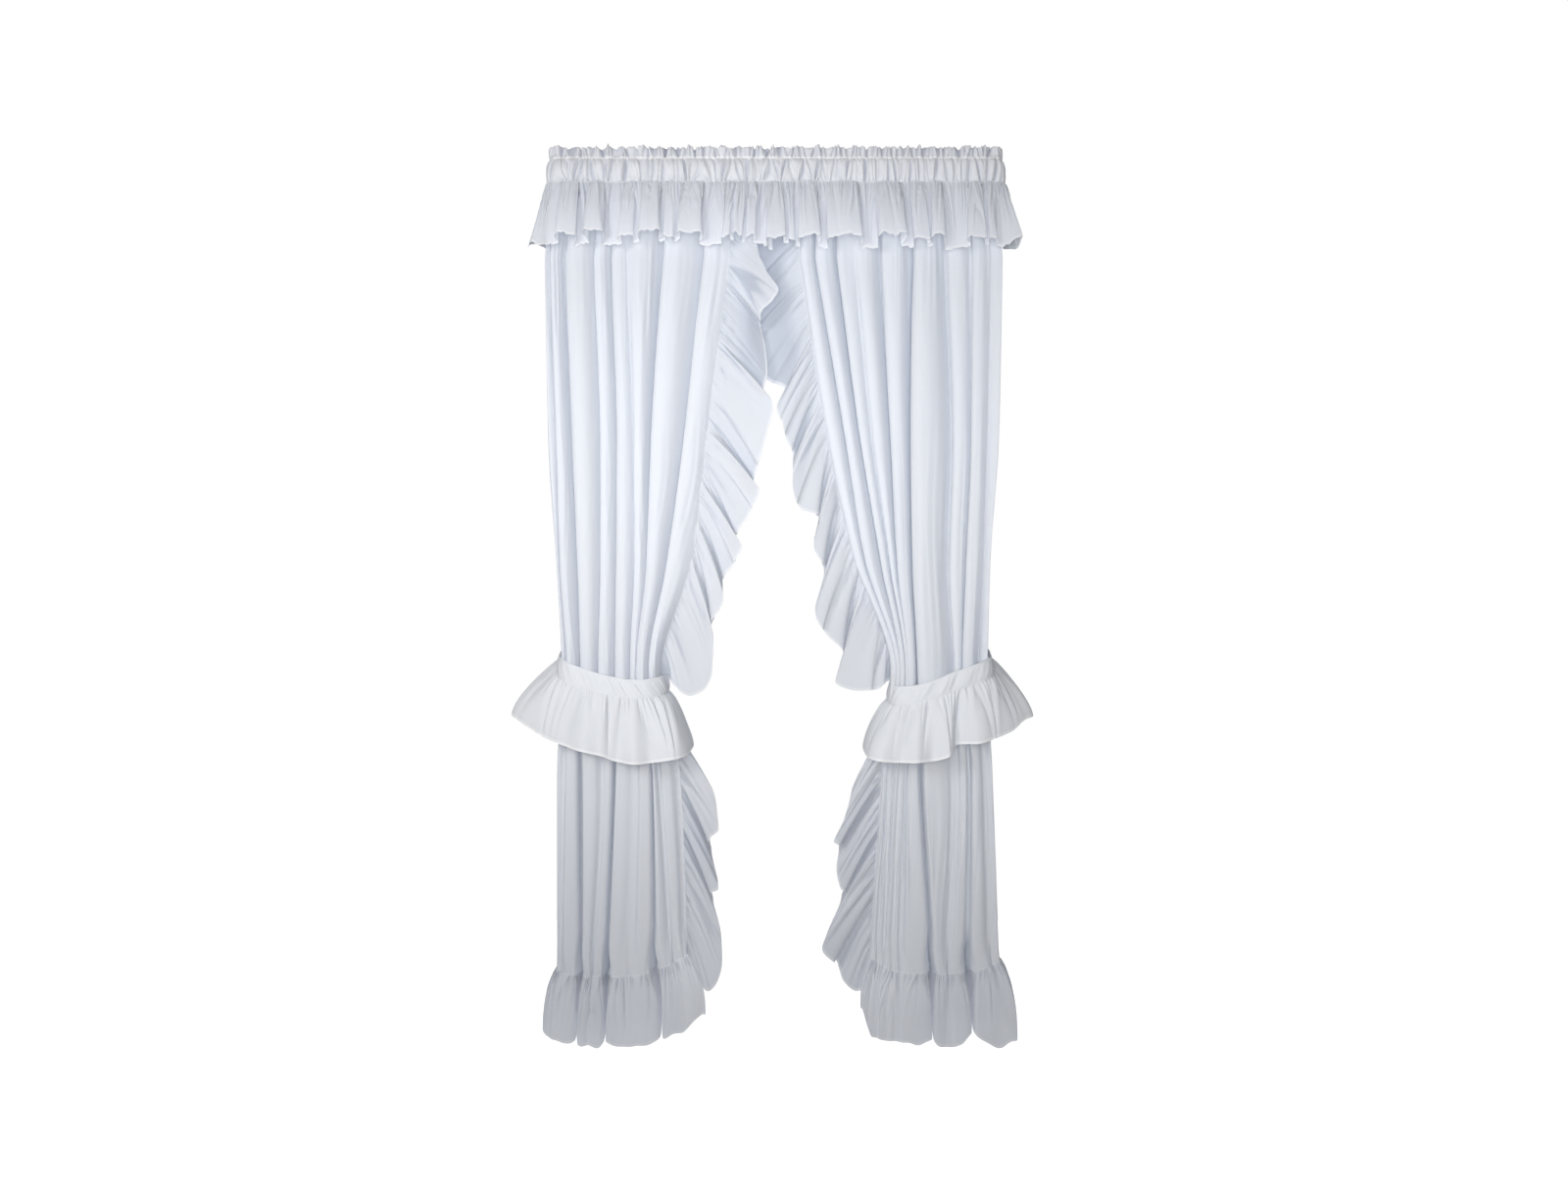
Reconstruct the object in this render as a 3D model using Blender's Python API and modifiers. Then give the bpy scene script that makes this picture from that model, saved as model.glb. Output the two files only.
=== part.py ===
"""A pair of priscilla curtains: two gathered sheer panels with ruffled edges, held aside by ruffled ties.

Lengths in the tables are millimetres. X runs across the window and Z up, with 0 at the middle of the
top edge, Y is 0 at the rod's axis, the room is towards -Y and the wall towards +Y.
Each piece of cloth is an open grid of points with a Solidify modifier. The heading is a loft with the
rod's channel left open.
"""

from collections import namedtuple

import bmesh
import bpy
import numpy as np

MM = 0.001
CLOTH = 2.0  # thickness of a sheet with its folds' slack
SEAM_GAP = 1.5  # between two pieces that are sewn edge to edge
EDGE_SEAM_GAP = 4.0  # the same where the panel comes to the seam at a slant

# Heights of the construction lines, down from the top edge.
STITCH_Z = -30.0
POCKET_FOOT_Z = -89.0
PANEL_TOP_Z = -91.0

# The rod that the pocket takes: straight across, then round a bend and back to the wall.
ROD_HALF_SPAN = 536.0
ROD_BEND = 20.0
WALL_Y = 84.0

HEADING_START = {"left": -27.0, "right": -24.0}
GATHER_PITCH = {"left": 27.0, "right": 25.0}

# ---------------------------------------------------------------------------------------------
# Folds of the panels, from the wall to the leading edge. x_* is where a fold line stands at each
# height, out_* how far it stands out from the rod's axis towards the room.
FOLD_HEIGHTS = (-270.0, -700.0, -1000.0, -1240.0, -1500.0, -1950.0)
Fold = namedtuple("Fold", "name x_top x_mid x_knee x_tie x_low x_hem out_top out_tie out_hem")
PANEL_FOLDS = {
    "left": (
        Fold("wall edge", -544, -538, -518, -504, -514, -512, -84, -42, -60),
        Fold("return", -548, -542, -521, -508, -520, -518, -34, -14, -22),
        Fold("outer crest", -544, -533, -513, -500, -511, -513, 16, 28, 20),
        Fold("soft valley 1", -533, -515, -506, -486, -498, -506, -2, -10, 2),
        Fold("crest 1", -519, -500, -488, -471, -478, -482, 22, 38, 32),
        Fold("valley 2", -503, -485, -469, -457, -459, -457, -12, -18, -30),
        Fold("crest 2", -466, -448, -440, -436, -433, -440, 26, 42, 36),
        Fold("valley 3", -429, -411, -410, -413, -406, -431, -14, -12, 4),
        Fold("crest 3", -406, -389, -389, -391, -393, -416, 20, 38, 30),
        Fold("valley 4", -383, -367, -369, -371, -380, -399, -34, -24, -34),
        Fold("crest 4", -367, -352, -351, -354, -353, -368, 24, 42, 36),
        Fold("soft valley 5", -351, -337, -334, -338, -328, -341, 8, -6, 16),
        Fold("crest 5", -310, -313, -316, -329, -307, -312, 27, 40, 36),
        Fold("valley 6", -269, -292, -299, -319, -290, -285, -28, -22, -38),
        Fold("crest 6", -230, -251, -280, -308, -283, -262, 26, 42, 32),
        Fold("valley 7", -169, -211, -255, -295, -274, -241, -32, -16, 8),
        Fold("crest 7", -141, -188, -229, -284, -252, -224, 16, 30, 24),
        Fold("seam", -110, -165, -200, -271, -227, -207, 0, -4, 8),
    ),
    "right": (
        Fold("wall edge", 534, 526, 506, 496, 510, 526, -84, -42, -60),
        Fold("return", 538, 529, 508, 502, 514, 529, -34, -14, -22),
        Fold("outer crest", 533, 523, 502, 495, 506, 523, 18, 28, 20),
        Fold("soft valley 1", 509, 500, 491, 477, 494, 507, 2, -8, 0),
        Fold("crest 1", 486, 482, 474, 461, 477, 488, 20, 36, 30),
        Fold("valley 2", 464, 462, 450, 443, 456, 452, -8, -26, -34),
        Fold("crest 2", 432, 441, 430, 432, 440, 420, 14, 30, 34),
        Fold("valley 3", 401, 417, 408, 420, 424, 402, -16, -12, 14),
        Fold("crest 3", 347, 348, 349, 362, 366, 385, 28, 44, 38),
        Fold("valley 4", 329, 322, 326, 334, 341, 369, -36, -24, -38),
        Fold("crest 4", 288, 298, 308, 322, 323, 331, 22, 38, 32),
        Fold("valley 5", 246, 274, 290, 314, 304, 290, -26, -14, 2),
        Fold("crest 5", 222, 244, 276, 309, 298, 281, 20, 34, 26),
        Fold("soft valley 6", 185, 225, 269, 306, 292, 271, 4, 14, 16),
        Fold("crest 6", 172, 214, 262, 303, 286, 262, 18, 36, 26),
        Fold("valley 7", 146, 202, 253, 297, 278, 252, -26, -14, 2),
        Fold("crest 7", 121, 180, 240, 292, 271, 244, 24, 34, 22),
        Fold("valley 8", 97, 169, 216, 287, 264, 236, -26, -8, 4),
        Fold("crest 8", 76, 142, 202, 281, 258, 229, 16, 28, 22),
        Fold("seam", 55, 120, 187, 275, 250, 220, 0, -4, 8),
    ),
}
# Height of the panel's foot, where the hem ruffle is sewn on, and of the ruffle's own foot.
FOOT_SEAM = {
    "left": ((-520, -1948), (-420, -1957), (-339, -1955), (-246, -1928), (-207, -1909)),
    "right": ((220, -1916), (290, -1948), (371, -1950), (450, -1948), (529, -1926)),
}
HEM_FOOT = {
    "left": ((-548, -2072), (-510, -2094), (-430, -2108), (-300, -2104), (-218, -2072), (-170, -2034)),
    "right": ((200, -2020), (224, -2086), (300, -2100), (400, -2108), (520, -2100), (575, -2076)),
}
# How far the hem ruffle's ends swing out past the panel's own edges at its foot, and how much deeper
# than the panel's its crests and its valleys are there.
HEM_SPREAD = {"left": (-30.0, 36.0), "right": (40.0, -20.0)}
HEM_CREST_SWELL = 22.0
HEM_VALLEY_SWELL = 2.0
RUFFLE_ROWS = (0.0, 0.3, 0.65, 1.0)  # from a ruffle's seam to its foot

# ---------------------------------------------------------------------------------------------
# Folds of the edge ruffles, down the leading edge: where each fold line leaves the seam, and
# where it meets the ruffle's free edge.
Cascade = namedtuple("Cascade", "seam_z edge_x edge_z out")
EDGE_FOLDS = {
    "left": (
        Cascade(-91, -33, -92, -4),
        Cascade(-130, -50, -170, -14),
        Cascade(-185, -48, -245, 2),
        Cascade(-240, -22, -305, 34),
        Cascade(-285, 6, -350, 42),
        Cascade(-318, -6, -374, 12),
        Cascade(-350, -38, -410, -14),
        Cascade(-400, -26, -470, -14),
        Cascade(-450, -20, -535, -10),
        Cascade(-490, -30, -574, -12),
        Cascade(-520, -6, -622, 42),
        Cascade(-590, -22, -690, 34),
        Cascade(-660, -46, -768, 6),
        Cascade(-690, -54, -796, -14),
        Cascade(-718, -38, -818, 40),
        Cascade(-770, -64, -874, 22),
        Cascade(-812, -97, -928, -14),
        Cascade(-842, -79, -950, 40),
        Cascade(-880, -104, -996, 14),
        Cascade(-912, -127, -1030, -14),
        Cascade(-945, -122, -1074, 42),
        Cascade(-990, -154, -1134, -12),
        Cascade(-1030, -145, -1160, 40),
        Cascade(-1100, -148, -1240, 46),
        Cascade(-1150, -168, -1284, 44),
        Cascade(-1190, -202, -1298, 38),
        Cascade(-1216, -234, -1280, 22),
        Cascade(-1232, -254, -1234, -10),
        Cascade(-1252, -298, -1252, -38),
        Cascade(-1305, -300, -1318, -38),
        Cascade(-1365, -234, -1436, -8),
        Cascade(-1400, -166, -1492, 14),
        Cascade(-1440, -143, -1530, 34),
        Cascade(-1500, -133, -1606, 46),
        Cascade(-1532, -152, -1628, 40),
        Cascade(-1552, -158, -1650, -16),
        Cascade(-1610, -138, -1726, 18),
        Cascade(-1640, -134, -1748, 40),
        Cascade(-1662, -156, -1764, -16),
        Cascade(-1720, -128, -1850, 34),
        Cascade(-1770, -124, -1914, 48),
        Cascade(-1812, -140, -1984, 54),
        Cascade(-1850, -168, -2002, 44),
        Cascade(-1900, -172, -1990, 42),
    ),
    "right": (
        Cascade(-91, -18, -92, -4),
        Cascade(-150, -6, -200, -16),
        Cascade(-210, -10, -270, -10),
        Cascade(-265, -8, -330, -12),
        Cascade(-300, 12, -368, 4),
        Cascade(-330, -36, -420, 42),
        Cascade(-395, -20, -486, 34),
        Cascade(-448, -14, -540, 12),
        Cascade(-480, 24, -578, -14),
        Cascade(-530, 14, -648, 40),
        Cascade(-585, 24, -694, 26),
        Cascade(-625, 40, -730, -14),
        Cascade(-680, 39, -806, 42),
        Cascade(-735, 58, -860, 30),
        Cascade(-782, 104, -880, -12),
        Cascade(-830, 88, -948, 40),
        Cascade(-890, 115, -1008, -12),
        Cascade(-950, 91, -1100, 42),
        Cascade(-1015, 120, -1156, 26),
        Cascade(-1060, 161, -1202, -12),
        Cascade(-1100, 138, -1264, 42),
        Cascade(-1150, 190, -1286, 40),
        Cascade(-1195, 236, -1284, 26),
        Cascade(-1232, 256, -1240, -8),
        Cascade(-1258, 302, -1260, -38),
        Cascade(-1312, 304, -1326, -38),
        Cascade(-1365, 236, -1438, -8),
        Cascade(-1405, 188, -1498, 12),
        Cascade(-1470, 157, -1590, 42),
        Cascade(-1520, 135, -1636, 48),
        Cascade(-1548, 152, -1650, -14),
        Cascade(-1592, 142, -1702, 24),
        Cascade(-1632, 150, -1744, 42),
        Cascade(-1660, 162, -1762, -14),
        Cascade(-1716, 128, -1832, 34),
        Cascade(-1768, 107, -1886, 50),
        Cascade(-1806, 142, -1926, 2),
        Cascade(-1846, 158, -1966, 30),
        Cascade(-1905, 190, -1996, 24),
    ),
}
RUFFLE_BOW = 0.16  # how far a ruffle stands away from its seam before it falls, per unit of its reach
LEAST_FALL = 40.0  # a fold that drops less than this runs straight from its seam

# ---------------------------------------------------------------------------------------------
# Folds of the valance ruffles, from the middle of the window to the wall.
Frill = namedtuple("Frill", "seam_x hem_x out")
VALANCE_FOLDS = {
    "left": (
        Frill(-28, -30, 26), Frill(-49, -59, 58), Frill(-58, -71, 38), Frill(-74, -88, 60),
        Frill(-104, -108, 28), Frill(-116, -121, 54), Frill(-151, -147, 30), Frill(-183, -199, 66),
        Frill(-213, -223, 34), Frill(-244, -246, 60), Frill(-276, -267, 36), Frill(-304, -297, 68),
        Frill(-327, -330, 34), Frill(-348, -346, 58), Frill(-394, -386, 28), Frill(-432, -417, 72),
        Frill(-450, -455, 32), Frill(-473, -485, 62), Frill(-516, -518, 34),
    ),
    "right": (
        Frill(-25, -27, 44), Frill(-9, -5, 64), Frill(30, 26, 34), Frill(42, 37, 58),
        Frill(54, 51, 38), Frill(72, 76, 62), Frill(107, 110, 30), Frill(153, 156, 70),
        Frill(197, 201, 40), Frill(223, 216, 58), Frill(234, 235, 30), Frill(278, 269, 72),
        Frill(322, 313, 28), Frill(343, 338, 58), Frill(369, 361, 30), Frill(390, 377, 64),
        Frill(404, 404, 32), Frill(432, 427, 46), Frill(459, 453, 30), Frill(478, 469, 60),
        Frill(494, 495, 34), Frill(508, 502, 60), Frill(524, 520, 40),
    ),
}
VALANCE_LONG = -252.0  # foot of a fold that hangs back
VALANCE_LIFT = 0.42  # how much a fold's foot rises for each millimetre that it swings out
SEAM_OUT = (6.0, 0.06)  # how far out the seam stands, and the share of the fold's own swing in it
# The valance's end, round the rod's bend and back to the wall: its seam and its foot.
Corner = namedtuple("Corner", "seam_x seam_y hem_x hem_y hem_z")
VALANCE_RETURN = {
    "left": (
        Corner(-540, -4, -552, -60, -236), Corner(-543, 14, -558, -22, -232),
        Corner(-545, 48, -580, 28, -236), Corner(-545, 82, -590, 80, -226),
    ),
    "right": (
        Corner(540, -4, 562, -60, -236), Corner(543, 14, 568, -22, -232),
        Corner(545, 48, 570, 28, -236), Corner(545, 82, 560, 80, -226),
    ),
}

# ---------------------------------------------------------------------------------------------
# The ties, from the hook at the wall round the front, the leading edge and the back to the hook:
# the band's lower edge, and the foot of the ruffle that hangs from it.
Station = namedtuple("Station", "x y z hem_x hem_y hem_z")
TIE = {
    "left": (
        Station(-507, 74, -1222, -586, 72, -1326),
        Station(-518, 46, -1232, -616, 40, -1338),
        Station(-521, 12, -1242, -594, -12, -1358),
        Station(-513, -22, -1252, -560, -58, -1374),
        Station(-492, -46, -1263, -527, -74, -1391),
        Station(-462, -57, -1274, -486, -100, -1406),
        Station(-430, -62, -1284, -446, -82, -1424),
        Station(-398, -64, -1292, -404, -108, -1430),
        Station(-366, -65, -1298, -364, -86, -1446),
        Station(-335, -64, -1302, -322, -110, -1450),
        Station(-306, -60, -1303, -284, -88, -1448),
        Station(-280, -48, -1300, -240, -96, -1441),
        Station(-260, -26, -1296, -206, -62, -1434),
        Station(-253, 4, -1292, -194, -8, -1418),
        Station(-262, 38, -1288, -210, 52, -1414),
        Station(-296, 56, -1284, -262, 81, -1418),
        Station(-345, 61, -1276, -320, 70, -1418),
        Station(-400, 63, -1264, -385, 82, -1408),
        Station(-455, 66, -1248, -452, 72, -1392),
        Station(-497, 74, -1230, -512, 82, -1372),
    ),
    "right": (
        Station(507, 74, -1222, 580, 72, -1326),
        Station(516, 46, -1230, 606, 40, -1344),
        Station(517, 12, -1240, 586, -14, -1362),
        Station(511, -23, -1250, 549, -58, -1378),
        Station(486, -48, -1262, 507, -74, -1393),
        Station(452, -57, -1274, 470, -102, -1402),
        Station(420, -62, -1284, 432, -80, -1410),
        Station(392, -65, -1294, 388, -106, -1430),
        Station(362, -66, -1304, 360, -84, -1443),
        Station(334, -64, -1312, 322, -110, -1446),
        Station(307, -60, -1317, 284, -88, -1448),
        Station(283, -48, -1319, 244, -98, -1445),
        Station(268, -26, -1318, 212, -62, -1438),
        Station(262, 4, -1312, 205, -8, -1424),
        Station(270, 38, -1306, 218, 52, -1418),
        Station(298, 56, -1296, 266, 81, -1420),
        Station(345, 61, -1284, 322, 70, -1418),
        Station(396, 63, -1268, 382, 82, -1408),
        Station(450, 66, -1250, 448, 72, -1392),
        Station(497, 74, -1230, 508, 82, -1372),
    ),
}
BAND_WIDTH = 44.0
BAND_LEAN = 3.0  # how far the band's upper edge leans in over the panel
BAND_COLUMNS, FRILL_COLUMNS = 32, 39

COLOURS = {
    "panel": (0.86, 0.88, 0.93),
    "heading": (0.84, 0.86, 0.90),
    "ruffle": (0.85, 0.87, 0.92),
    "tie": (0.88, 0.89, 0.91),
}


# ---------------------------------------------------------------------------------------------
# Curves and grids


def through(stations, values, at):
    """A monotone cubic through one value, or one row of values, at each station."""
    order = np.argsort(stations)
    x = np.asarray(stations, float)[order]
    y = np.asarray(values, float)[order].reshape(len(x), -1)
    step = np.diff(x)[:, None]
    rise = np.diff(y, axis=0) / step
    slope = np.zeros_like(y)
    before, after = rise[:-1], rise[1:]
    same_way = before * after > 0
    mean = 2 * before * after / np.where(same_way, before + after, 1.0)
    slope[1:-1] = np.where(same_way, mean, 0.0)
    slope[0], slope[-1] = rise[0], rise[-1]
    at = np.clip(np.atleast_1d(np.asarray(at, float)), x[0], x[-1])
    i = np.clip(np.searchsorted(x, at, side="right") - 1, 0, len(x) - 2)
    t = ((at - x[i]) / step[i, 0])[:, None]
    found = (
        (1 + 2 * t) * (1 - t) ** 2 * y[i]
        + t * (1 - t) ** 2 * step[i] * slope[i]
        + t**2 * (3 - 2 * t) * y[i + 1]
        + t**2 * (t - 1) * step[i] * slope[i + 1]
    )
    return found if np.ndim(values) > 1 else found[:, 0]


def material(name, colour):
    made = bpy.data.materials.new(name)
    made.use_nodes = True
    shader = made.node_tree.nodes["Principled BSDF"]
    shader.inputs["Base Color"].default_value = (*colour, 1.0)
    shader.inputs["Roughness"].default_value = 0.85
    shader.inputs["Metallic"].default_value = 0.0
    return made


def add_object(name, mesh, kind):
    mesh.materials.append(material(name + "_cloth", COLOURS[kind]))
    mesh.shade_smooth()
    piece = bpy.data.objects.new(name, mesh)
    curtains.objects.link(piece)
    return piece


def sheet(name, rows, kind):
    """A piece of cloth from a grid of points in millimetres: an open surface with Solidify."""
    grid = np.asarray(rows, float) * MM
    count, across = grid.shape[:2]
    shape = bmesh.new()
    points = [[shape.verts.new(point) for point in row] for row in grid]
    for i in range(count - 1):
        for j in range(across - 1):
            shape.faces.new((points[i][j], points[i][j + 1], points[i + 1][j + 1], points[i + 1][j]))
    bmesh.ops.recalc_face_normals(shape, faces=shape.faces)
    mesh = bpy.data.meshes.new(name)
    shape.to_mesh(mesh)
    shape.free()
    piece = add_object(name, mesh, kind)
    thick = piece.modifiers.new("cloth", "SOLIDIFY")
    thick.thickness = CLOTH * MM
    thick.offset = 0.0
    return piece


# ---------------------------------------------------------------------------------------------
# Panel and hem ruffle


# The folds are flat where they are sewn into the heading, and reach their full width and depth below it.
TUCK_HEIGHTS = (PANEL_TOP_Z, -200.0, FOLD_HEIGHTS[0])
TUCK_SHARES = (0.976, 0.990, 1.0)
DEPTH_HEIGHTS = (PANEL_TOP_Z, -200.0, -450.0, -1000.0, -1190.0, -1300.0, -1560.0, -1950.0)
RETURN_HEIGHTS = (PANEL_TOP_Z, -300.0, -1240.0, -1560.0, -1950.0)


def fold_lines(side, z):
    """x and out of every fold line of a panel at height z."""
    folds = PANEL_FOLDS[side]
    across = np.array([fold[1:7] for fold in folds], float)
    out_top, out_tie, out_hem = (np.array([getattr(fold, name) for fold in folds], float)
                                 for name in ("out_top", "out_tie", "out_hem"))
    x = through(FOLD_HEIGHTS, across.T, z)[0]
    x = x[-1] + (x - x[-1]) * through(TUCK_HEIGHTS, TUCK_SHARES, z)[0]
    depths = (0.15 * out_top - 5, 0.6 * out_top - 2, out_top, 0.6 * out_top + 0.4 * out_tie,
              out_tie, out_tie, 0.5 * (out_tie + out_hem), out_hem)
    out = through(DEPTH_HEIGHTS, depths, z)[0]
    wall = (out_top[0], out_top[0], out_tie[0], out_hem[0], out_hem[0])
    out[0] = through(RETURN_HEIGHTS, wall, z)[0]
    return x, out


def pleated(x, out, steps=2, steepness=1.7):
    """Points of a section: from a valley the cloth leaves steeply, and turns round over a crest."""
    made = [(x[0], out[0])]
    for i in range(len(x) - 1):
        for step in range(1, steps + 1):
            t = step / steps
            from_valley = t if out[i + 1] > out[i] else 1 - t
            share = 1 - (1 - from_valley) ** steepness
            low, high = min(out[i], out[i + 1]), max(out[i], out[i + 1])
            made.append((x[i] + (x[i + 1] - x[i]) * t, low + (high - low) * share))
    return np.array(made)


def foot_seam(side, x):
    table = np.array(FOOT_SEAM[side], float)
    return through(table[:, 0], table[:, 1], x)


PANEL_ROWS = (-91, -150, -215, -290, -430, -600, -780, -940, -1070, -1170, -1250, -1330,
              -1450, -1620, -1800, -1950)


def panel_row(side, z):
    """One row of the panel. Its height is shared out so that the last row is the uneven foot."""
    section = pleated(*fold_lines(side, z))
    down = (z - PANEL_TOP_Z) / (PANEL_ROWS[-1] - PANEL_TOP_Z)
    height = PANEL_TOP_Z + down * (foot_seam(side, section[:, 0]) - PANEL_TOP_Z)
    return np.column_stack([section[:, 0], -section[:, 1], height])


def panel(side):
    return sheet(side + "_panel", [panel_row(side, z) for z in PANEL_ROWS], "panel")


def hem_ruffle(side):
    """Hangs from the panel's foot on the same folds, and swells below the seam."""
    x, out = fold_lines(side, PANEL_ROWS[-1])
    outer, inner = HEM_SPREAD[side]
    along = (x - x[1]) / (x[-1] - x[1])
    swollen_x = x + outer * (1 - along) ** 3 + inner * along**3
    swollen_out = out + np.where(out > 0, HEM_CREST_SWELL, HEM_VALLEY_SWELL)
    swollen_out[:2] = out[:2]
    table = np.array(HEM_FOOT[side], float)
    rows = []
    for fall in RUFFLE_ROWS:
        swell = 1 - (1 - fall) ** 1.6
        section = pleated(x + (swollen_x - x) * swell, out + (swollen_out - out) * swell)
        top = foot_seam(side, pleated(x, out)[:, 0]) - SEAM_GAP
        foot = through(table[:, 0], table[:, 1], section[:, 0])
        rows.append(np.column_stack([section[:, 0], -section[:, 1], top + (foot - top) * fall]))
    return sheet(side + "_hem_ruffle", rows, "ruffle")


# ---------------------------------------------------------------------------------------------
# Edge ruffle


def seam_point(side, z):
    """A point on the panel's leading edge, which is straight between the panel's rows."""
    rows = [panel_row(side, height)[-1] for height in PANEL_ROWS]
    x, y, down = np.transpose(rows)
    return np.array([np.interp(-z, -down, x), np.interp(-z, -down, y), z])


def edge_ruffle(side):
    """Rows run from the seam to the free edge, and each falls under its own weight."""
    inward = 1.0 if side == "left" else -1.0
    reach = np.array([0.0, 0.34, 0.68, 1.0])
    rows = []
    for fold in EDGE_FOLDS[side]:
        start = seam_point(side, fold.seam_z) + np.array([inward * EDGE_SEAM_GAP, 0.0, 0.0])
        end = np.array([fold.edge_x, -fold.out, fold.edge_z], float)
        length = np.linalg.norm(end - start)
        falls = abs(fold.edge_z - fold.seam_z) > LEAST_FALL
        bow = np.array([inward * RUFFLE_BOW * length * falls, 0.0, 0.0])
        middle = 0.5 * (start + end) + bow
        t = reach[:, None]
        rows.append((1 - t) ** 2 * start + 2 * t * (1 - t) * middle + t**2 * end)
    return sheet(side + "_edge_ruffle", rows, "ruffle")


# ---------------------------------------------------------------------------------------------
# Heading


def rod_path(side, along):
    """Point and outward direction on the rod's line, at a distance from the middle of the window."""
    hand = -1.0 if side == "left" else 1.0
    straight = ROD_HALF_SPAN - ROD_BEND
    quarter = ROD_BEND * np.pi / 2
    if along <= straight:
        return np.array([hand * along, 0.0]), np.array([0.0, -1.0])
    if along <= straight + quarter:
        turn = (along - straight) / ROD_BEND
        out = np.array([hand * np.sin(turn), -np.cos(turn)])
        return np.array([hand * straight, ROD_BEND]) + ROD_BEND * out, out
    back = along - straight - quarter
    return np.array([hand * ROD_HALF_SPAN, ROD_BEND + back]), np.array([hand, 0.0])


# Section of the heading: distance out from the rod's axis, height, and share of the gathers.
HEADING_OUTSIDE = (
    (1.3, 0.0, 1.0), (2.2, STITCH_Z, 0.5), (10.2, -43.0, 1.0), (10.2, -78.0, 1.0),
    (2.0, POCKET_FOOT_Z, 0.3), (-2.0, POCKET_FOOT_Z, 0.3), (-10.2, -78.0, -1.0),
    (-10.2, -43.0, -1.0), (-2.2, STITCH_Z, 0.5), (-1.3, 0.0, 1.0),
)
HEADING_CHANNEL = (
    (0.0, -35.0, 0.5), (8.0, -45.0, 1.0), (8.0, -77.0, 1.0),
    (0.0, -85.5, 0.3), (-8.0, -77.0, -1.0), (-8.0, -45.0, -1.0),
)
GATHER_DEPTH = 3.0
HEADER_SCALLOP = 4.0
RETURN_RINGS = 4


def heading(side):
    start = abs(HEADING_START[side])
    straight = ROD_HALF_SPAN - ROD_BEND
    first = start if side == "left" else -start
    gathers = int(round((straight - first) / GATHER_PITCH[side])) * 2
    along = list(np.linspace(first, straight, gathers + 1))
    bend = ROD_BEND * np.pi / 2
    along += [straight + bend / 2, straight + bend]
    along += list(straight + bend + np.linspace(0, WALL_Y - ROD_BEND, RETURN_RINGS + 1)[1:])
    shape = bmesh.new()
    rings = []
    for number, distance in enumerate(along):
        centre, out = rod_path(side, distance)
        uneven = 0.6 + 0.4 * np.sin(1.7 * number) * np.cos(0.6 * number + 1.0)
        gather = GATHER_DEPTH * uneven * (number % 2)
        scallop = HEADER_SCALLOP * (0.5 + 0.5 * np.sin(2.3 * number + 0.4))
        ring = []
        for profile in (HEADING_OUTSIDE, HEADING_CHANNEL):
            loop = []
            for offset, z, share in profile:
                place = centre + out * (offset + share * gather)
                drop = scallop if z == 0.0 else 0.0
                loop.append(shape.verts.new((place[0] * MM, place[1] * MM, (z - drop) * MM)))
            ring.append(loop)
        rings.append(ring)
    for before, after in zip(rings, rings[1:]):
        for loop_before, loop_after in zip(before, after):
            for i in range(len(loop_before)):
                j = (i + 1) % len(loop_before)
                shape.faces.new((loop_before[i], loop_before[j], loop_after[j], loop_after[i]))
    for outside, channel in (rings[0], rings[-1]):
        edges = [shape.edges.get((loop[i], loop[(i + 1) % len(loop)]))
                 for loop in (outside, channel) for i in range(len(loop))]
        bmesh.ops.triangle_fill(shape, use_beauty=True, edges=edges)
    bmesh.ops.recalc_face_normals(shape, faces=shape.faces)
    mesh = bpy.data.meshes.new(side + "_heading")
    shape.to_mesh(mesh)
    shape.free()
    return add_object(side + "_heading", mesh, "heading")


# ---------------------------------------------------------------------------------------------
# Valance ruffle


def valance(side):
    """Folds spread from the pocket's foot: each falls from its seam and swings out on the way."""
    seam_z = POCKET_FOOT_Z - SEAM_GAP
    base, share = SEAM_OUT
    least = min(fold.out for fold in VALANCE_FOLDS[side])
    top, hem = [], []
    for fold in VALANCE_FOLDS[side]:
        top.append((fold.seam_x, -base - share * fold.out, seam_z))
        hem.append((fold.hem_x, -fold.out, VALANCE_LONG + VALANCE_LIFT * (fold.out - least)))
    for corner in VALANCE_RETURN[side]:
        top.append((corner.seam_x, corner.seam_y, seam_z))
        hem.append((corner.hem_x, corner.hem_y, corner.hem_z))
    top, hem = np.array(top, float), np.array(hem, float)
    stations = np.arange(len(top))
    finer = np.arange(0, len(top) - 0.5, 0.5)
    rows = []
    for fall in RUFFLE_ROWS:
        share_xyz = np.array([fall**1.15, 1 - (1 - fall) ** 1.5, fall])
        rows.append(through(stations, top + (hem - top) * share_xyz, finer))
    return sheet(side + "_valance", rows, "ruffle")


# ---------------------------------------------------------------------------------------------
# Ties


def tie_stations(side, finer):
    table = np.array(TIE[side], float)
    stations = np.arange(len(table))
    return through(stations, table, np.linspace(0, len(table) - 1, finer))


def tie_band(side):
    """A strip that stands on edge round the gathered panel."""
    path = tie_stations(side, BAND_COLUMNS)[:, :3]
    middle = path[:, :2].mean(axis=0)
    inwards = middle - path[:, :2]
    inwards /= np.linalg.norm(inwards, axis=1)[:, None]
    rows = []
    for rise in (0.0, 1.0):
        row = path.copy()
        row[:, :2] += inwards * BAND_LEAN * rise
        row[:, 2] += BAND_WIDTH * rise
        rows.append(row)
    return sheet(side + "_tie_band", rows, "tie")


def tie_ruffle(side):
    path = tie_stations(side, FRILL_COLUMNS)
    seam, hem = path[:, :3].copy(), path[:, 3:]
    seam[:, 2] -= SEAM_GAP
    rows = []
    for fall in RUFFLE_ROWS:
        flare = 1 - (1 - fall) ** 1.4
        row = seam + (hem - seam) * np.array([flare, flare, fall])
        rows.append(row)
    return sheet(side + "_tie_ruffle", rows, "tie")


# ---------------------------------------------------------------------------------------------

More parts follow.
